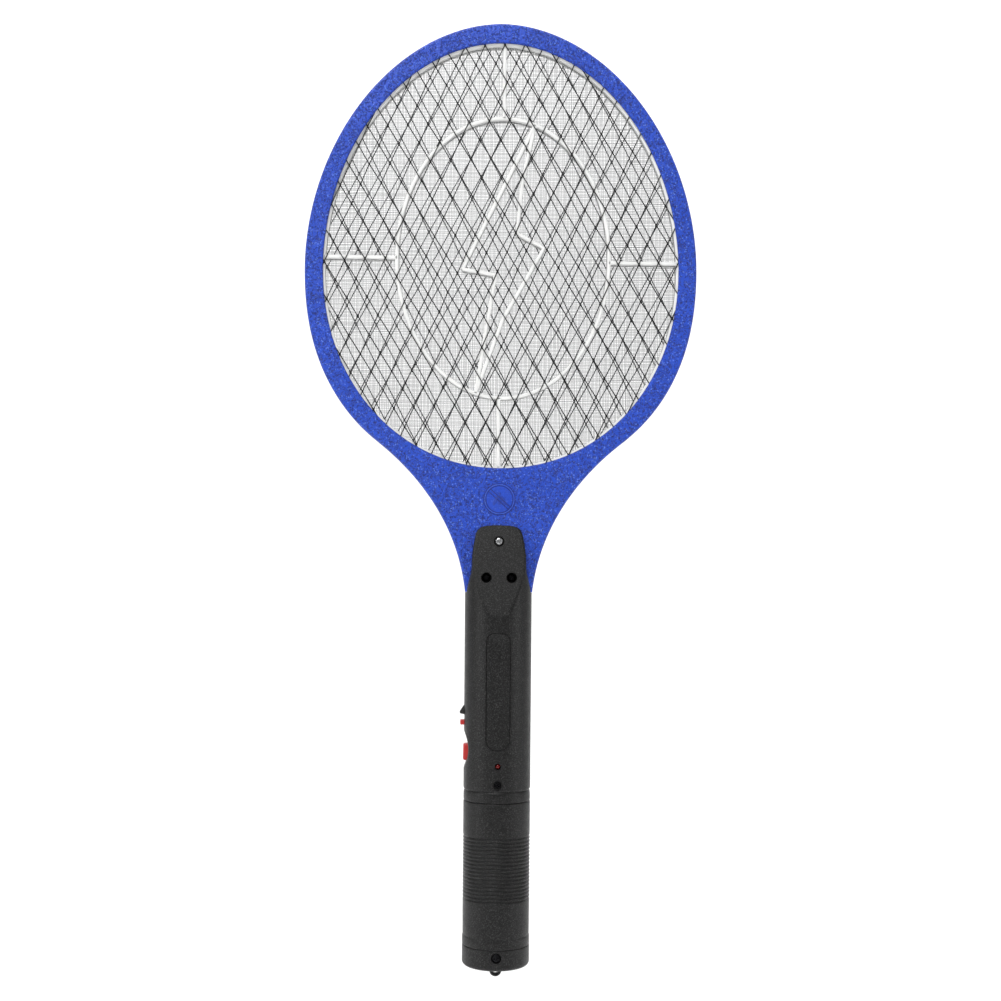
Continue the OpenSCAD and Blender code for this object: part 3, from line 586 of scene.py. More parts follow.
    M["tinned_lead"] = metal("tinned_copper", srgb(208, 208, 212), srgb(170, 170, 176), rough=(0.2, 0.35)).m
    M["plunger_white"] = plastic("plunger_plastic", srgb(226, 226, 220), srgb(240, 240, 236)).m
    M["switch_metal"] = metal("switch_shell", srgb(196, 198, 202), srgb(150, 152, 158), rough=(0.25, 0.4)).m
    return M


MAT = make_materials()


# ------------------------------------------------------------------ blue head halves
def head_half(front):
    s = -1.0 if front else 1.0
    side = head_side()
    nrm = normals2(side, closed=False)
    nrm[0] = (1.0, 0.0)
    nrm[-1] = (0.0, 1.0)
    m = len(side)

    def ring(d):
        q = side - nrm * d
        q[:, 0] = np.maximum(q[:, 0], 0.0)
        q[0, 1] = NECK_Z
        left = q[::-1].copy()
        left[:, 0] *= -1
        return np.vstack([q, left[1:]])  # the crown point is shared

    rad = 1.35
    prof = [(0.3, 0.03), (0.08, 0.12), (0.0, 0.32)]
    prof += [(rad - rad * math.cos(a), HT - rad + rad * math.sin(a)) for a in np.linspace(0, math.pi / 2, 8)]
    b = Builder()
    rows = [[(p[0], s * y, p[1]) for p in ring(d)] for d, y in prof]
    b.strip(rows, flip=not front)
    # opening: rounded lip, then the rebate that holds the grids and spacers
    o = egg(720, **OPEN)
    on = normals2(o)
    r2 = 0.7
    prof2 = [(r2 - r2 * math.sin(a), HT - r2 + r2 * math.cos(a)) for a in np.linspace(0, math.pi / 2, 6)]
    prof2 += [(0.0, 3.24), (3.0, 3.24), (3.0, 0.03)]
    rows = [[(p[0], s * y, p[1]) for p in (o + on * d)] for d, y in prof2]
    b.strip(rows, flip=not front)
    flat_fill(ring(rad), [o + on * r2], s * HT, b, flip=not front)
    flat_fill(ring(0.3), [o + on * 3.0], s * 0.03, b, flip=front)
    # tongue of the plate inside the handle
    t = box_b(-13.4, 13.4, min(s * 4.3, s * 0.03), max(s * 4.3, s * 0.03), 160.2, NECK_Z + 0.5)
    b.add(t.v, t.f)
    return b


def emblem():
    """Raised ring and slash on the neck, with a plain winged outline under it."""
    b = Builder()
    y0, h = -HT, 0.32
    r, w = 6.95, 0.8
    prof = [(r + w / 2, y0 + 0.05), (r + w / 2 - 0.08, y0 - h * 0.7), (r + w / 4, y0 - h), (r - w / 4, y0 - h), (r - w / 2 + 0.08, y0 - h * 0.7), (r - w / 2, y0 + 0.05)]
    k = lathe(prof, 96, "y", (0, 0, EMBLEM))
    b.add(k.v, [f for f in k.f if len(f) == 4])
    c, sn = math.cos(math.radians(-42)), math.sin(math.radians(-42))
    for off in (-0.72, 0.72):
        L = math.sqrt(6.6 ** 2 - off ** 2)
        rows = []
        for u, hgt in ((-0.26, 0.05), (-0.18, -h * 0.8), (0.0, -h), (0.18, -h * 0.8), (0.26, 0.05)):
            rows.append([(l * c - (off + u) * sn, y0 + hgt, EMBLEM + l * sn + (off + u) * c) for l in (-L, -L / 2, 0, L / 2, L)])
        b.strip(rows, close_u=False)
    # body and two wings, low domes
    for cx, cz, ra, rb, tilt in ((0.1, -0.4, 0.95, 2.5, 4), (-1.7, -0.6, 0.9, 2.5, -28), (1.9, -0.6, 0.9, 2.5, 28), (0.1, 2.6, 0.8, 0.7, 0)):
        ct, st = math.cos(math.radians(tilt)), math.sin(math.radians(tilt))
        rows = []
        for q in (1.0, 0.8, 0.5, 0.01):
            hh = -0.2 * math.sqrt(max(0.0, 1 - q * q))
            rows.append([(cx + ra * q * math.cos(t) * ct - rb * q * math.sin(t) * st, y0 + 0.01 + hh, EMBLEM + cz + ra * q * math.cos(t) * st + rb * q * math.sin(t) * ct) for t in np.linspace(0, 2 * math.pi, 24, endpoint=False)])
        b.strip(rows, cap1=True, flip=True)
    return b


def build_head():
    f = head_half(True)
    e = emblem()
    f.add(e.v, e.f)
    fo = f.obj("head_front", MAT["head_blue"], slot="head_blue")
    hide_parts("front_frame")
    r = head_half(False)
    ro = r.obj("head_rear", MAT["head_blue"], slot="head_blue")
    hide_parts("rear_frame")


# ------------------------------------------------------------------ grids
def out_at(x, z):
    dz = z - MID
    b = np.where(dz >= 0, OPEN["bu"], OPEN["bl"])
    n = np.where(dz >= 0, OPEN["nu"], OPEN["nl"])
    return (np.abs(x) / OPEN["a"]) ** n + (np.abs(dz) / b) ** n


def clip_line(p, u, limit):
    """The stretch of the line p + t u that lies inside the opening grown by limit."""
    t = np.linspace(-260, 260, 5201)
    q = p[None] + t[:, None] * u[None]
    k = (OPEN["a"] + limit) / OPEN["a"]
    ok = out_at(q[:, 0] / k, MID + (q[:, 1] - MID) / k) < 1.0
    if not ok.any():
        return None
    return t[ok][0], t[ok][-1]


def outer_grid(turn, shift, y, name, node, seed, w, h):
    a = math.radians(turn)
    rot = np.array([[math.cos(a), -math.sin(a)], [math.sin(a), math.cos(a)]])
    base = np.array([shift[0], MID + shift[1]]) + rot @ np.array([0, h / 2])
    rng = np.random.default_rng(seed)
    L = math.hypot(w, h) / 2
    b = Builder()
    nodes = {}

    def node_at(i, j):
        # node i along one family of wires, j along the other
        if (i, j) not in nodes:
            q = base + rot @ (np.array([w / 2, h / 2]) * i + np.array([-w / 2, h / 2]) * j)
            nodes[(i, j)] = (q + rng.normal(0, 0.11, 2), 0.0)
        return nodes[(i, j)][0]

    N = 26
    for fam in (0, 1):
        for j in range(-N, N):
            run = []
            for i in range(-N, N + 1):
                q = node_at(i, j) if fam == 0 else node_at(j, i)
                run.append(q)
            run = np.array(run)
            # keep the stretch inside the rebate
            fine, rad = [], []
            for k in range(len(run) - 1):
                for f in (0.0, 0.06, 0.14, 0.3, 0.5, 0.7, 0.86, 0.94):
                    q = run[k] * (1 - f) + run[k + 1] * f
                    fine.append(q)
                    rad.append(0.26 + 0.2 * math.exp(-(min(f, 1 - f) * L / 0.5) ** 2))
            fine, rad = np.array(fine), np.array(rad)
            kk = (OPEN["a"] + 2.2) / OPEN["a"]
            ok = out_at(fine[:, 0] / kk, MID + (fine[:, 1] - MID) / kk) < 1.0
            if ok.sum() < 3:
                continue
            i0, i1 = np.argmax(ok), len(ok) - np.argmax(ok[::-1])
            pts, rr = fine[i0:i1], rad[i0:i1]
            sgn = 1 if fam == 0 else -1
            b2 = tube([(q[0], y + sgn * 0.06, q[1]) for q in pts], list(rr), 6)
            # flatten a little, as rolled wire
            b.add([(v[0], y + (v[1] - y) * 0.72, v[2]) for v in b2.v], b2.f)
    # rim strip held in the rebate, and the soldering tab
    o = egg(240, **OPEN)
    on = normals2(o)
    rows = [[(p[0], y + dy, p[1]) for p in (o + on * d)] for d, dy in ((1.5, -0.22), (2.65, -0.22), (2.65, 0.22), (1.5, 0.22), (1.5, -0.22))]
    b.strip(rows)
    t = box_b(7, 11, y - 0.22, y + 0.22, 227.2, 233.4)
    b.add(t.v, t.f)
    o = b.obj(name, MAT["grid_wire"], slot="grid_wire", sharp=60)
    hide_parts(node)


def center_mesh():
    b = Builder()
    pitch, r = 0.64, 0.112
    a = math.radians(1.4)
    rng = np.random.default_rng(21)
    for fam in (0, 1):
        u = np.array([math.cos(a), math.sin(a)]) if fam == 0 else np.array([-math.sin(a), math.cos(a)])
        v = np.array([-u[1], u[0]])
        for k in range(-182, 183):
            p = np.array([0.0, MID + 6.7]) + v * (pitch * k + rng.normal(0, 0.035))
            d = u + v * rng.normal(0, 0.0012)
            c = clip_line(p, d, 2.0)
            if c is None:
                continue
            y = 0.06 if fam == 0 else -0.06
            ts = np.linspace(c[0], c[1], max(3, int((c[1] - c[0]) / 9)))
            w = rng.normal(0, 0.05, len(ts))
            pts = [p + d * t + v * q for t, q in zip(ts, w)]
            b2 = tube([(q[0], y, q[1]) for q in pts], r, 4)
            b.add(b2.v, b2.f)
    o = egg(240, **OPEN)
    on = normals2(o)
    rows = [[(p[0], dy, p[1]) for p in (o + on * d)] for d, dy in ((1.4, -0.06), (2.65, -0.06), (2.65, 0.06), (1.4, 0.06), (1.4, -0.06))]
    b.strip(rows)
    t = box_b(-11, -7, -0.06, 0.06, 227.2, 233.4)
    b.add(t.v, t.f)
    o = b.obj("center_mesh", MAT["mesh_wire"], slot="mesh_wire", sharp=60)
    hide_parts("center_grid")


# ------------------------------------------------------------------ spacers
def band(path, w, closed=True):
    """Offsets of a path to both sides, as two outlines."""
    p = np.array(path, float)
    n = normals2(p, closed)
    return p + n * w / 2, p - n * w / 2


def rib(b, path, w, y0, y1, closed=True, rad=0.3):
    """A rib with softened long edges that follows a path in x and z."""
    p = np.array(path, float)
    n = normals2(p, closed)
    sec = [(-w / 2, y0 + rad), (-w / 2 + rad, y0), (w / 2 - rad, y0), (w / 2, y0 + rad), (w / 2, y1 - rad), (w / 2 - rad, y1), (-w / 2 + rad, y1), (-w / 2, y1 - rad)]
    rows = [[(q[0] + m[0] * d, y, q[1] + m[1] * d) for d, y in sec] for q, m in zip(p, n)]
    if closed:
        rows.append(rows[0])
    b.strip(rows, cap0=not closed, cap1=not closed, flip=True)


def spacer(front):
    s = -1 if front else 1
    y0, y1 = (-2.6, -0.15) if front else (0.15, 2.6)
    w = 1.7
    b = Builder()
    o = egg(480, **OPEN)
    on = normals2(o)
    rib(b, o + on * 0.85, 3.7, y0, y1)
    cx, cz, rx, rz = 0.9, 335.5, 50.7, 66.8
    rib(b, [(cx + rx * math.cos(t), cz + rz * math.sin(t)) for t in np.linspace(0, 2 * math.pi, 240, endpoint=False)], w, y0, y1)
    for p, q in (((cx, cz + rz), (cx, 437.5)), ((cx - 1.6, cz - rz), (cx - 1.6, 235.5)), ((cx - rx, 335.2), (-84.2, 335.2)), ((cx + rx, 334), (84.2, 334))):
        rib(b, [p, ((p[0] + q[0]) / 2, (p[1] + q[1]) / 2), q], w, y0, y1, closed=False)
    zig = [(15.6, 399.3), (-18.6, 330.1), (-2.7, 327.5), (-11.8, 270.9), (1.0, 306.5), (20.6, 340.8), (7.5, 347.3), (9.6, 370.8)]
    for i in range(8):
        p, q = np.array(zig[i]), np.array(zig[(i + 1) % 8])
        rib(b, [p, (p + q) / 2, q], w, y0 + 0.02 * (i % 2), y1 - 0.02 * (i % 2), closed=False)
    o = b.obj("spacer_front_ribs" if front else "spacer_rear_ribs", MAT["spacer_white"], slot="spacer_white", sharp=50)
    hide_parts("front_spacer" if front else "rear_spacer")


# ------------------------------------------------------------------ handle shells
def face_d(z):
    return 9.42 - 0.245 * (z - 190.2)


OUT_Z = np.array([175.9, 177.5, 179.0, 182.2, 185.0, 188.0, 193.5, 198.3, 202.3, 204.6, 206.0, 206.9, 207.4, 207.65, 207.8])
OUT_W = np.array([16.2, 15.7, 15.1, 14.15, 13.4, 13.0, 12.8, 12.15, 11.45, 10.8, 9.9, 8.6, 6.9, 5.0, 2.5])


def smin(a, b, k):
    h = np.maximum(k - np.abs(a - b), 0) / k
    return np.minimum(a, b) - h * h * k * 0.25


def collar_r(z):
    """Radius of the round part of the upper handle at height z."""
    pz = [SEAM + 0.06, SEAM + 0.16, SEAM + 0.42, 78.0, 79.4, 80.6, 81.3, 81.62, 81.86, 82.0, 82.16, 82.5, 83.1, 84.0, 220.0]
    pr = [15.45, 15.68, 15.86, 15.93, 15.93, 15.88, 15.78, 15.62, 15.42, 15.42, 15.62, 15.88, 15.98, 16.0, 16.0]
    return np.interp(z, pz, pr)


def smooth(x, a, b):
    t = np.clip((x - a) / (b - a), 0, 1)
    return t * t * (3 - 2 * t)


def pad_inside(x, z):
    """Distance inside the outline of the thumb pad (positive inside)."""
    z0, z1, hw = 101.6, 156.9, 5.95
    rt, rb = 3.7, 5.0
    top = z > 0.5 * (z0 + z1)
    rr = np.where(top, rt, rb)
    zc = 0.5 * (z0 + z1)
    hz = 0.5 * (z1 - z0)
    qx = np.abs(x) - (hw - rr)
    qz = np.abs(z - zc) - (hz - rr)
    out = np.sqrt(np.maximum(qx, 0) ** 2 + np.maximum(qz, 0) ** 2) + np.minimum(np.maximum(qx, qz), 0) - rr
    # a slight arch across the top end
    return -out - np.where(top, 0.35 * (x / hw) ** 2 * np.clip(1 - (z1 - z) / 8.0, 0, 1), 0)


def shell_surface(th, z, front):
    """Distance from the axis to the shell's outer surface; th in (0, pi) from +X through the face to -X."""
    s, c = np.maximum(np.sin(th), 1e-6), np.cos(th)
    r = collar_r(z) * np.ones_like(th)
    r = smin(r, face_d(z) / s, 0.55)
    w = np.interp(z, OUT_Z, OUT_W, left=40.0)
    w = np.where(z < 175.9, 40.0, w)
    r = smin(r, w / np.maximum(np.abs(c), 1e-6), 1.5)
    # thumb notch round the button, cut straight across
    dz = z - 101.0
    depth = np.sqrt(np.maximum(18.7 ** 2 - dz * dz, 0.0)) - 32.6
    hit = (np.abs(dz) < 18.0) & (c < -0.2)
    t = np.where(hit, -depth / np.maximum(-c, 0.2), 99.0)
    r = smin(r, np.where(t > 0, t, 99.0), 0.5)
    if front:
        # dished thumb pad with a crisp outline
        x = r * c
        k = pad_inside(x, z)
        r = r - 0.40 * smooth(k, -0.08, 0.16) - 0.75 * smooth(k, 0.2, 5.4) - 0.22 * np.exp(-((k - 0.22) / 0.2) ** 2)
        # faint ring near the pad's top
        q = np.sqrt(x * x + (z - 146.3) ** 2)
        r = r + 0.10 * np.exp(-((q - 3.4) / 0.28) ** 2)
    return r


def shell_mesh(front):
    s = -1.0 if front else 1.0
    zs = [SEAM + 0.06, SEAM + 0.16, SEAM + 0.28, SEAM + 0.42]
    zs += list(np.arange(77.5, 81.2, 0.5)) + list(np.arange(81.25, 83.3, 0.11)) + list(np.arange(83.4, 100.6, 0.42))
    zs += list(np.arange(100.7, 107.5, 0.16)) + list(np.arange(107.6, 152.8, 0.42))
    zs += list(np.arange(153.0, 157.6, 0.13)) + list(np.arange(157.8, 175.8, 0.4)) + [175.88]
    low = np.array(zs)
    high = np.array([175.9] + list(np.arange(176.3, 203.0, 0.4)) + list(np.arange(203.0, 206.8, 0.16)) + [206.9, 207.1, 207.25, 207.4, 207.5, 207.6, 207.68, 207.74, 207.8])
    n, ns = 300, 14
    ledge = HT + 0.05

    def foot(z, base):
        lo = 0.0
        for _ in range(8):
            r = shell_surface(np.array([lo]), np.array([z]), front)[0]
            lo = math.asin(min(0.999, base / max(r, base + 1e-3)))
        # the notch side may differ from the plain side
        hi = 0.0
        for _ in range(8):
            r = shell_surface(np.array([math.pi - hi]), np.array([z]), front)[0]
            hi = math.asin(min(0.999, base / max(r, base + 1e-3)))
        return lo, math.pi - hi

    def columns(z, side):
        a0, a1 = foot(z, ledge)
        u = np.linspace(0, 1, n)
        th = a0 + u * (a1 - a0)
        if front and z < 160:
            # gather columns at the pad's edges
            for sg in (-1, 1):
                c0 = math.pi / 2 + sg * math.asin(5.9 / 15.9)
                th = th - 0.020 * np.tanh((th - c0) / 0.03) * np.exp(-((th - c0) / 0.12) ** 2) * smooth(160 - z, 0, 2)
            th = np.sort(th)
        if side:
            b0, b1 = foot(z, 0.03)
            th = np.concatenate([np.linspace(b0, a0, ns)[:-1], th, np.linspace(a1, b1, ns)[1:]])
        return th

    def row(z, side):
        th = columns(z, side)
        r = shell_surface(th, np.full_like(th, z), front)
        return [(r[i] * math.cos(th[i]), s * max(r[i] * math.sin(th[i]), 0.03), z) for i in range(len(th))]

    b = Builder()
    inner = 14.2
    rows_o = [row(z, True) for z in low]
    rows_h = [row(z, False) for z in high]
    b.strip(rows_o, close_u=False, flip=not front)
    b.strip([rows_o[-1][ns - 1:-(ns - 1)], rows_h[0]], close_u=False, flip=not front)
    b.strip(rows_h, close_u=False, flip=not front)
    # bore, with a thicker wall behind the thumb pad and the button
    m = n + 2 * (ns - 1)
    thi = np.linspace(0, math.pi, m)

    def inner_row(z):
        d = min(inner, face_d(z) - 1.6) if z > 160 else inner
        out = []
        for t in thi:
            r = min(inner, d / max(math.sin(t), 1e-6))
            x, yy = r * math.cos(t), r * math.sin(t)
            if front and abs(x) < 7.5 and 98 < z < 160:
                yy = min(yy, 12.3)
            if x < -11.9 and 91 < z < 108:
                x = -11.9
            out.append((x, s * max(yy, 0.03), z))
        return out

    zi = [SEAM + 0.06, 90.9, 91.1, 97.9, 98.1, 107.9, 108.1, 159.9, 160.1, 165.0, 172.0, 109.0, 110.5, 87.0, 89.0]
    zi = sorted(zi + list(np.arange(77.0, 85.4, 0.45)) + list(np.arange(92.0, 97.6, 0.9)) + list(np.arange(98.8, 107.6, 0.9)) + [120.0, 130.0, 140.0, 150.0])
    rows_i = [inner_row(z) for z in zi]
    b.strip(rows_i, close_u=False, flip=front)
    k = len(b.v)
    b.v.extend(rows_i[-1])
    b.f.extend([(k + j, k + j + 1, k + m - 2 - j, k + m - 1 - j) for j in range(m // 2 - 1)])
    b.strip([rows_o[0], rows_i[0]], close_u=False, flip=front)
    # parting faces at both sides
    for side in (0, -1):
        oz = [r[side] for r in rows_o]
        iz = [r[side] for r in rows_i]
        poly = oz + iz[::-1]
        k = len(b.v)
        b.v.extend([(p[0], s * 0.03, p[2]) for p in poly])
        i, j = 0, 0
        io = list(range(len(oz)))
        ii = [len(poly) - 1 - q for q in range(len(iz))]
        while i < len(io) - 1 or j < len(ii) - 1:
            if j == len(ii) - 1 or (i < len(io) - 1 and oz[i + 1][2] <= iz[j + 1][2]):
                b.f.append((k + io[i], k + io[i + 1], k + ii[j]))
                i += 1
            else:
                b.f.append((k + io[i], k + ii[j + 1], k + ii[j]))
                j += 1
    # web above the bore between the two sides
    a0, a1 = rows_o[-1][0], rows_o[-1][-1]
    c0, c1 = rows_i[-1][0], rows_i[-1][-1]
    b.add([a0, a1, c1, c0], [(0, 1, 2, 3)])
    # ledge under the blue neck
    led = rows_o[-1][:ns] + [rows_h[0][0], rows_h[0][-1]] + rows_o[-1][-ns:]
    b.add(led, [tuple(range(len(led)))])
    # back of the tongue against the neck
    left = [r[-1] for r in rows_h]
    right = [r[0] for r in rows_h]
    b.strip([right, left], close_u=False, flip=not front)
    k = len(b.v)
    b.v.extend(rows_h[-1])
    b.f.extend([(k + j, k + j + 1, k + n - 2 - j, k + n - 1 - j) for j in range(n // 2 - 1)])
    o = b.obj("shell_tmp", None)
    normals_out(o)
    return o


def pit(x, z, y_top, y_bottom, r, flare=0.18, n=64, s=-1):
    """Cutter for a round hole from the face, with a small flare where it meets the surface at y_top."""
    far = y_top + s * 6
    prof = [(0.0, far), (r + flare + 0.001, far), (r + flare, y_top + s * 0.02), (r, y_top - s * flare), (r, y_bottom), (0.0, y_bottom)]
    b = lathe([(p[0], p[1]) for p in prof], n, "y", (x + 0.0013, 0, z + 0.0017), start=0.0137)
    o = b.obj("pit", None)
    normals_out(o)
    return o


def slot_cutter(poly, lo, hi, axis="x"):
    b = rounded_prism(poly, lo, hi, 0.02, axis, 1)
    o = b.obj("slot", None)
    normals_out(o)
    return o


def boss(y0, y1, z, ro, ri, x=0.0):
    prof = [(ri, y0), (ro, y0), (ro, y1), (ri, y1)]
    k = lathe(prof + [prof[0]], 48, "y", (x, 0, z))
    k.f = [f for f in k.f if len(f) == 4]
    return k


def guard(front):
    """The small hooked lug above the slide knob, half on each shell."""
    poly = [(-15.2, 117.45), (-15.9, 117.55), (-17.6, 117.78), (-17.95, 118.1), (-18.0, 118.6), (-17.85, 119.05), (-16.9, 120.6), (-15.9, 122.0), (-15.2, 122.6)]
    y0, y1 = (-3.0, -0.03) if front else (0.03, 3.0)
    b = Builder()
    ys = np.linspace(y0, y1, 13)
    rows = []
    for y in ys:
        # the hook's tip follows the round of the handle and its ends are rounded off
        e = abs(y) / 3.0
        k = 1 - 0.9 * max(0, e - 0.55) ** 2 / 0.2025
        k = max(k, 0.05)
        base = -math.sqrt(R * R - y * y) + 0.4
        rows.append([(base + (p[0] + 15.5) * (k if p[0] < -15.6 else 1.0), y, 119.2 + (p[1] - 119.2) * (0.75 + 0.25 * k)) for p in poly])
    b.strip(rows, cap0=True, cap1=True)
    return b


def build_shell(front):
    o = shell_mesh(front)
    s = -1 if front else 1
    cuts = []
    if front:
        cuts.append(pit(TOP_SCREW[0], TOP_SCREW[1], -face_d(TOP_SCREW[1]) + 0.02, -5.2, 2.45, 0.22))
        for x, z in LOW_SCREWS:
            cuts.append(pit(x, z, -face_d(z) + 0.02, -6.4, 2.45, 0.22))
        cuts.append(pit(0, SHELL_SCREW, -R + 0.03, -10.21, 2.4, 0.2))
        cuts.append(pit(0, LED, -R + 0.03, -10.37, 1.45, 0.15))
    cuts.append(slot_cutter(rounded_rect(6.9, 8.4, 0.9, 5, 0.0, BUTTON), -17.5, -10.5, "x"))
    cuts.append(slot_cutter(rounded_rect(4.3, 4.9, 0.5, 4, 0.0, SLIDE + 1.15), -17.5, -10.5, "x"))
    # halves keep only their side of the cutters' width: the cutters pass through the parting plane
    boolean(o, cuts)
    name = "shell_front" if front else "shell_rear"
    o.name = name
    extra = guard(front)
    if front:
        extra = merge(extra, boss(-14.6, -0.1, SHELL_SCREW, 3.2, 1.4), boss(-15.2, -10.5, LED, 2.6, 1.5))
        # seat of the screw
        extra = merge(extra, lathe([(1.4, -13.55), (2.5, -13.55)], 32, "y", (0, 0, SHELL_SCREW)))
    e = extra.obj("extra", None, sharp=30)
    normals_out(e)
    e.data.set_sharp_from_angle(angle=math.radians(30))
    import bmesh
    bm = bmesh.new()
    bm.from_mesh(o.data)
    bm.from_mesh(e.data)
    bm.to_mesh(o.data)
    bm.free()
    d = e.data
    bpy.data.objects.remove(e)
    bpy.data.meshes.remove(d)
    for p in o.data.polygons:
        p.use_smooth = True
    o.data.set_sharp_from_angle(angle=math.radians(32))
    o.data.materials.clear()
    o.data.materials.append(MAT["handle_charcoal"])
    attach(o, "racket")
    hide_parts("handle_front" if front else "handle_rear")


# ------------------------------------------------------------------ battery tube and end cap
def build_tube():
    prof = [(14.8, 8.06), (15.75, 8.06), (15.95, 8.16), (16.04, 8.4), (16.05, 9.0), (16.05, 11.9), (16.0, 12.3), (15.86, 12.62), (15.8, 12.8), (15.82, 13.1), (15.88, 13.6), (15.9, 16.0)]
    prof += [(15.92, 22.0), (15.94, 29.0)]
    for i in range(18):
        z = 30.3 + i * 1.735
        # narrow round-bottomed groove between rounded ribs
        for dz, dr in ((-0.86, 0.0), (-0.62, -0.02), (-0.46, -0.09), (-0.34, -0.24), (-0.2, -0.42), (0.0, -0.48), (0.2, -0.42), (0.34, -0.24), (0.46, -0.09), (0.62, -0.02)):
            prof.append((15.97 + dr, z + dz))
    prof += [(15.97, 61.0), (15.98, 68.0), (15.99, 75.6), (15.97, 76.1), (15.88, 76.4), (15.66, 76.56), (14.8, 76.56)]
    prof.append(prof[0])
    k = lathe(prof, 192)
    k.f = [f for f in k.f if len(f) == 4]
    post = box_b(-2.8, 2.8, -15.0, -9.2, 9.0, 20)
    k.add(post.v, post.f)
    o = k.obj("tube_ribbed", MAT["handle_charcoal"], slot="handle_charcoal", sharp=40)
    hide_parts("battery_tube")


def build_cap():
    rad = 2.0
    prof = [(0.0, -2.0), (6.0, -2.0), (11.0, -1.99)]
    prof += [(16.1 - rad + rad * math.sin(a), 0.0 - rad * math.cos(a)) for a in np.linspace(0, math.pi / 2, 9)]
    prof += [(16.1, 3.0), (16.1, 7.2), (16.06, 7.6), (15.94, 7.86), (15.7, 7.96), (14.68, 7.96), (14.68, 12.5), (13.4, 12.5), (13.4, 6.0), (0.0, 6.0)]
    k = lathe(prof, 192)
    o = k.obj("cap_tmp", None)
    normals_out(o)
    cut = [pit(0, CAP_SCREW, -16.08, -13.6, 2.4, 0.2)]
    boolean(o, cut, sharp=34)
    # lanyard lug: a rounded tab with a hole
    outl = [(2.9, -1.7)] + [(2.9 * math.cos(a), -5.05 + 2.9 * math.sin(a)) for a in np.linspace(0, -math.pi, 25)] + [(-2.9, -1.7)]
    outl = outl[::-1]
    b = Builder()
    hole = [(1.42 * math.cos(a), -5.05 + 1.42 * math.sin(a)) for a in np.linspace(0, 2 * math.pi, 33)[:-1]]
    P = np.array(outl)
    # outline runs counter-clockwise
    area = 0.5 * np.sum(P[:, 0] * np.roll(P[:, 1], -1) - np.roll(P[:, 0], -1) * P[:, 1])
    if area < 0:
        P = P[::-1]
    n = normals2(P)
    H = np.array(hole)
    hn = normals2(H)
    r = 0.55
    prof = [(r - r * math.sin(a), -1.5 + r - r * math.cos(a)) for a in np.linspace(0, math.pi / 2, 5)]
    prof += [(r - r * math.cos(a), 1.5 - r + r * math.sin(a)) for a in np.linspace(0, math.pi / 2, 5)]
    b.strip([[(p[0], y, p[1]) for p in (P - n * d)] for d, y in prof], flip=True)
    b.strip([[(p[0], y, p[1]) for p in (H + hn * d)] for d, y in prof], flip=False)
    flat_fill(P - n * r, [H + hn * r], -1.5, b, flip=False)
    flat_fill(P - n * r, [H + hn * r], 1.5, b, flip=True)
    e = b.obj("lug_tmp", None)
    normals_out(e)
    import bmesh
    bm = bmesh.new()
    bm.from_mesh(o.data)
    bm.from_mesh(e.data)
    bm.to_mesh(o.data)
    bm.free()
    d = e.data
    bpy.data.objects.remove(e)
    bpy.data.meshes.remove(d)
    for p in o.data.polygons:
        p.use_smooth = True
    o.data.set_sharp_from_angle(angle=math.radians(34))
    o.name = "cap_rounded"
    o.data.materials.clear()
    o.data.materials.append(MAT["handle_charcoal"])
    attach(o, "racket")
    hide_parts("end_cap")


# ------------------------------------------------------------------ screws
def screw_obj(x, y, z, head_r, head_h, shaft_r, length, turn):
    """Pan-head cross-recess screw along +Y, seat at y."""
    prof = [(0.0, y - head_h)]
    for a in np.linspace(0.15, math.pi / 2, 8):
        prof.append((head_r * math.sin(a), y - head_h * 0.35 - head_h * 0.65 * math.cos(a)))
    prof += [(head_r, y), (shaft_r, y), (shaft_r, y + length - 1.2), (shaft_r * 0.3, y + length), (0.0, y + length)]
    b = lathe(prof, 40, "y", (x, 0, z))
    o = b.obj("screw_tmp", None)
    normals_out(o)
    arms = []
    for a in (0, 90):
        c = box_b(-head_r * 0.66, head_r * 0.66, y - head_h - 0.5, y - head_h * 0.2, -0.34, 0.34)
        an = math.radians(a + turn)
        v = [(x + p[0] * math.cos(an) - p[2] * math.sin(an), p[1], z + p[0] * math.sin(an) + p[2] * math.cos(an)) for p in c.v]
        t = obj_from("arm", v, c.f, None)
        normals_out(t)
        arms.append(t)
    return boolean(o, arms, sharp=40)


def build_screws():
    todo = [("neck_screw_top", "neck_screws", screw_obj(TOP_SCREW[0], -5.35, TOP_SCREW[1], 1.9, 1.3, 1.1, 10.8, 28), "screw_steel")]
    # painted shade: the lower neck screws, the shell screw and the cap screw take the darker copy of the steel
    for i, ((x, z), t) in enumerate(zip(LOW_SCREWS, (10, 52))):
        todo.append(("neck_screw_low_%d" % i, "neck_screws", screw_obj(x, -7.2, z, 1.9, 1.3, 1.1, 15.5, t), "screw_dark"))
    todo.append(("shell_screw_cross", "shell_screw", screw_obj(0, -13.6, SHELL_SCREW, 2.1, 1.4, 1.1, 21, 35), "screw_dark"))
    todo.append(("cap_screw_cross", "cap_screw", screw_obj(0, -14.9, CAP_SCREW, 2.1, 0.9, 1.1, 5.4, 15), "screw_dark"))
    for name, node, o, mat in todo:
        o.name = name
        o.data.materials.clear()
        o.data.materials.append(MAT[mat])
        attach(o, "racket")
        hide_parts(node)


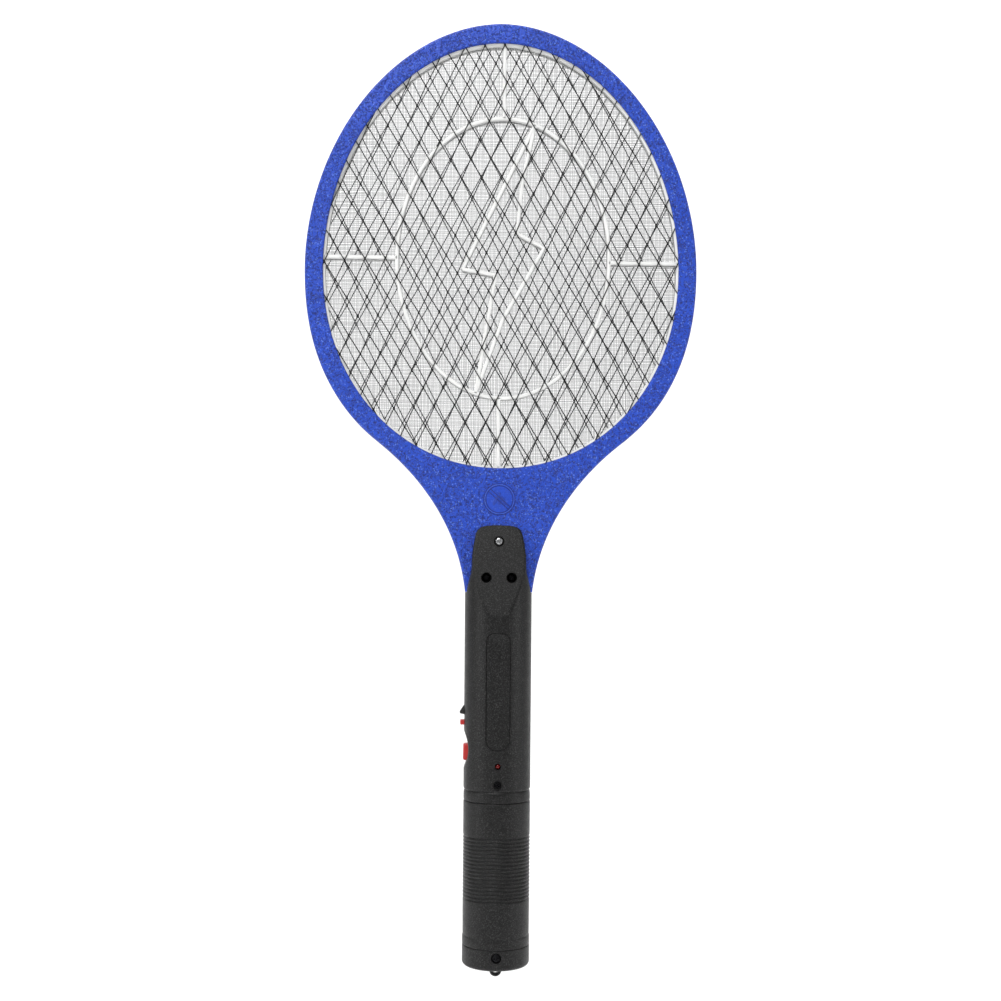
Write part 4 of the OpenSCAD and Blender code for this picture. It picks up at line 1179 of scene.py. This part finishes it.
# ------------------------------------------------------------------ controls
def build_controls():
    # push button: a pillow with a dished thumb face
    b = Builder()
    n1, n2 = 26, 30
    W, H = 6.35, 7.95
    rows = []
    rim = rounded_rect(W, H, 1.0, 6, 0.0, BUTTON)
    rim = np.array(rim)
    cen = np.array([0.0, BUTTON])
    # wall, rounded shoulder, dished face
    rows.append([(-10.9, p[0], p[1]) for p in rim])
    rows.append([(-15.2, p[0], p[1]) for p in rim])
    for a in np.linspace(0, math.pi / 2, 6)[1:]:
        d = 0.75 * (1 - math.cos(a))
        h = -15.45 - 0.85 * math.sin(a)
        q = cen + (rim - cen) * (1 - d / 3.4)
        rows.append([(h + 0.012 * (p[1] - BUTTON), p[0], p[1]) for p in q])
    last = rows[-1]
    for f in (0.6, 0.4, 0.2):
        rows.append([(-16.3 + 0.22 * (1 - f) + 0.012 * (p[2] - BUTTON), p[1] * f / 0.78, BUTTON + (p[2] - BUTTON) * f / 0.78) for p in last])
    b.strip(rows, cap0=True, cap1=True)
    fl = rounded_prism(rounded_rect(8.8, 10.0, 0.8, 4, 0.0, BUTTON), -11.8, -10.8, 0.15, "x", 2)
    b.add(fl.v, fl.f)
    o = b.obj("button_pillow", MAT["control_red"], body="fire_button", slot="control_red", sharp=50)
    normals_out(o)
    for p in o.data.polygons:
        p.use_smooth = True
    o.data.set_sharp_from_angle(angle=math.radians(50))
    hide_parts("fire_button")
    # slide knob with finger ridges
    b = Builder()
    poly = rounded_rect(4.0, 2.4, 0.45, 5, 0.0, SLIDE)
    k = rounded_prism(poly, -17.75, -12.9, 0.3, "x", 3)
    b.add(k.v, k.f)
    for dz in (-0.55, 0.0, 0.55):
        t = tube([(-17.72, -1.5, SLIDE + dz), (-17.78, 0, SLIDE + dz), (-17.72, 1.5, SLIDE + dz)], 0.16, 8)
        b.add([(max(v[0], -17.8), v[1], v[2]) for v in t.v], t.f)
    k = rounded_prism(rounded_rect(7.2, 8.2, 0.6, 4, 0.0, SLIDE + 0.5), -13.3, -12.5, 0.12, "x", 2)
    b.add(k.v, k.f)
    o = b.obj("slide_ridged", MAT["control_red"], body="slide_knob", slot="control_red", sharp=50)
    normals_out(o)
    o.data.set_sharp_from_angle(angle=math.radians(50))
    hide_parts("slide_knob")
    # indicator
    prof = [(0.0, -15.55)] + [(1.3 * math.sin(a), -14.3 - 1.25 * math.cos(a)) for a in np.linspace(0.2, math.pi / 2, 8)] + [(1.3, -12.0), (1.85, -12.0), (1.85, -11.0), (0.0, -11.0)]
    o = lathe(prof, 40, "y", (0, 0, LED)).obj("led_dome", MAT["led_red"], slot="led_red", sharp=40)
    normals_out(o)
    o.data.set_sharp_from_angle(angle=math.radians(40))
    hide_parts("indicator_led")


build_head()
outer_grid(3.69, (-1.163, -9.475), -2.9, "diamond_front", "front_grid", 3, 9.661, 17.945)
outer_grid(-0.78, (-1.063, 0.444), 2.9, "diamond_rear", "rear_grid", 8, 9.694, 18.091)
center_mesh()
spacer(True)
spacer(False)
build_shell(True)
build_shell(False)
build_tube()
build_cap()
build_screws()
build_controls()

# ------------------------------------------------------------------ CAD nodes that stay as they are
slots = {s["node"]: s["material_slot"] for s in frame["record"]["subparts"]}
for name, o in frame["nodes"].items():
    o.data.materials.clear()
    o.data.materials.append(MAT[slots[name]])

# ------------------------------------------------------------------ stage
def stage_floor():
    me = bpy.data.meshes.new("floor")
    # floor that sweeps up into a backdrop behind the part
    prof = [(-1.6, 0.0), (0.75, 0.0)] + [(0.75 + 0.5 * math.sin(a), 0.5 - 0.5 * math.cos(a)) for a in np.linspace(0, math.pi / 2, 16)[1:]] + [(1.25, 2.2)]
    z0 = -0.060
    v, f = [], []
    for x in (-2.4, 2.4):
        v += [(x, y, z + z0) for y, z in prof]
    n = len(prof)
    f = [(i, n + i, n + i + 1, i + 1) for i in range(n - 1)]
    me.from_pydata(v, [], f)
    for p in me.polygons:
        p.use_smooth = True
    o = bpy.data.objects.new("floor", me)
    bpy.context.scene.collection.objects.link(o)
    m = Mat("paper_backdrop")
    m.color(m.mix(m.range(m.noise(6, 3), 0.4, 0.6, 0, 1), (0.93, 0.93, 0.93, 1), (0.95, 0.95, 0.95, 1)))
    m.rough(0.9)
    m.set(Specular_IOR_Level=0.1)
    me.materials.append(m.m)
    return o


stage_floor()


def area(name, loc, target, size, power, size_y=None, color=(1, 1, 1)):
    d = bpy.data.lights.new(name, "AREA")
    d.energy = power
    d.color = color
    d.shape = "RECTANGLE" if size_y else "SQUARE"
    d.size = size
    if size_y:
        d.size_y = size_y
    o = bpy.data.objects.new(name, d)
    o.location = loc
    v = Vector(target) - Vector(loc)
    o.rotation_euler = v.to_track_quat("-Z", "Y").to_euler()
    bpy.context.scene.collection.objects.link(o)
    return o


area("strip_left", (-1.15, -0.52, 0.30), (0, 0, 0.22), 0.42, 5.0, 1.3)
area("strip_right", (1.15, -0.46, 0.30), (0, 0, 0.22), 0.36, 4.4, 1.3)
area("front_high", (-0.35, -1.1, 1.35), (0, 0, 0.25), 0.6, 14.0)
area("back_wash", (0, 0.35, 1.7), (0, 1.2, 0.3), 1.6, 21.0, 0.8)

w = bpy.data.worlds.new("studio")
bpy.context.scene.world = w
w.use_nodes = True
nt = w.node_tree
bg = nt.nodes["Background"]
bg.inputs[0].default_value = (1, 1, 1, 1)
bg.inputs[1].default_value = 0.25

# ------------------------------------------------------------------ camera, matched to the photograph
F_PX, SIZE = 1406.0, 1001.0
DIST = 0.674
AZ = math.radians(-1.4)
EYE = 0.1792
cam = bpy.data.cameras.new("camera")
cam.sensor_width = 36.0
cam.lens = 36.0 * F_PX / SIZE
co = bpy.data.objects.new("camera", cam)
bpy.context.scene.collection.objects.link(co)
pos = Vector((DIST * math.sin(AZ), -DIST * math.cos(AZ), EYE))
fwd = (Vector((0, 0, EYE)) - pos).normalized()
right = fwd.cross(Vector((0, 0, 1))).normalized()
up = Vector((0, 0, 1))
d = fwd
roll = math.radians(0.48)
r3 = right * math.cos(roll) + up * math.sin(roll)
u3 = r3.cross(d).normalized()
rot = Matrix((r3, u3, -d)).transposed()
co.matrix_world = Matrix.Translation(pos) @ rot.to_4x4()
cam.shift_x = 0.00205
cam.shift_y = 0.0848
bpy.context.scene.camera = co
bpy.context.scene.view_settings.view_transform = "Standard"
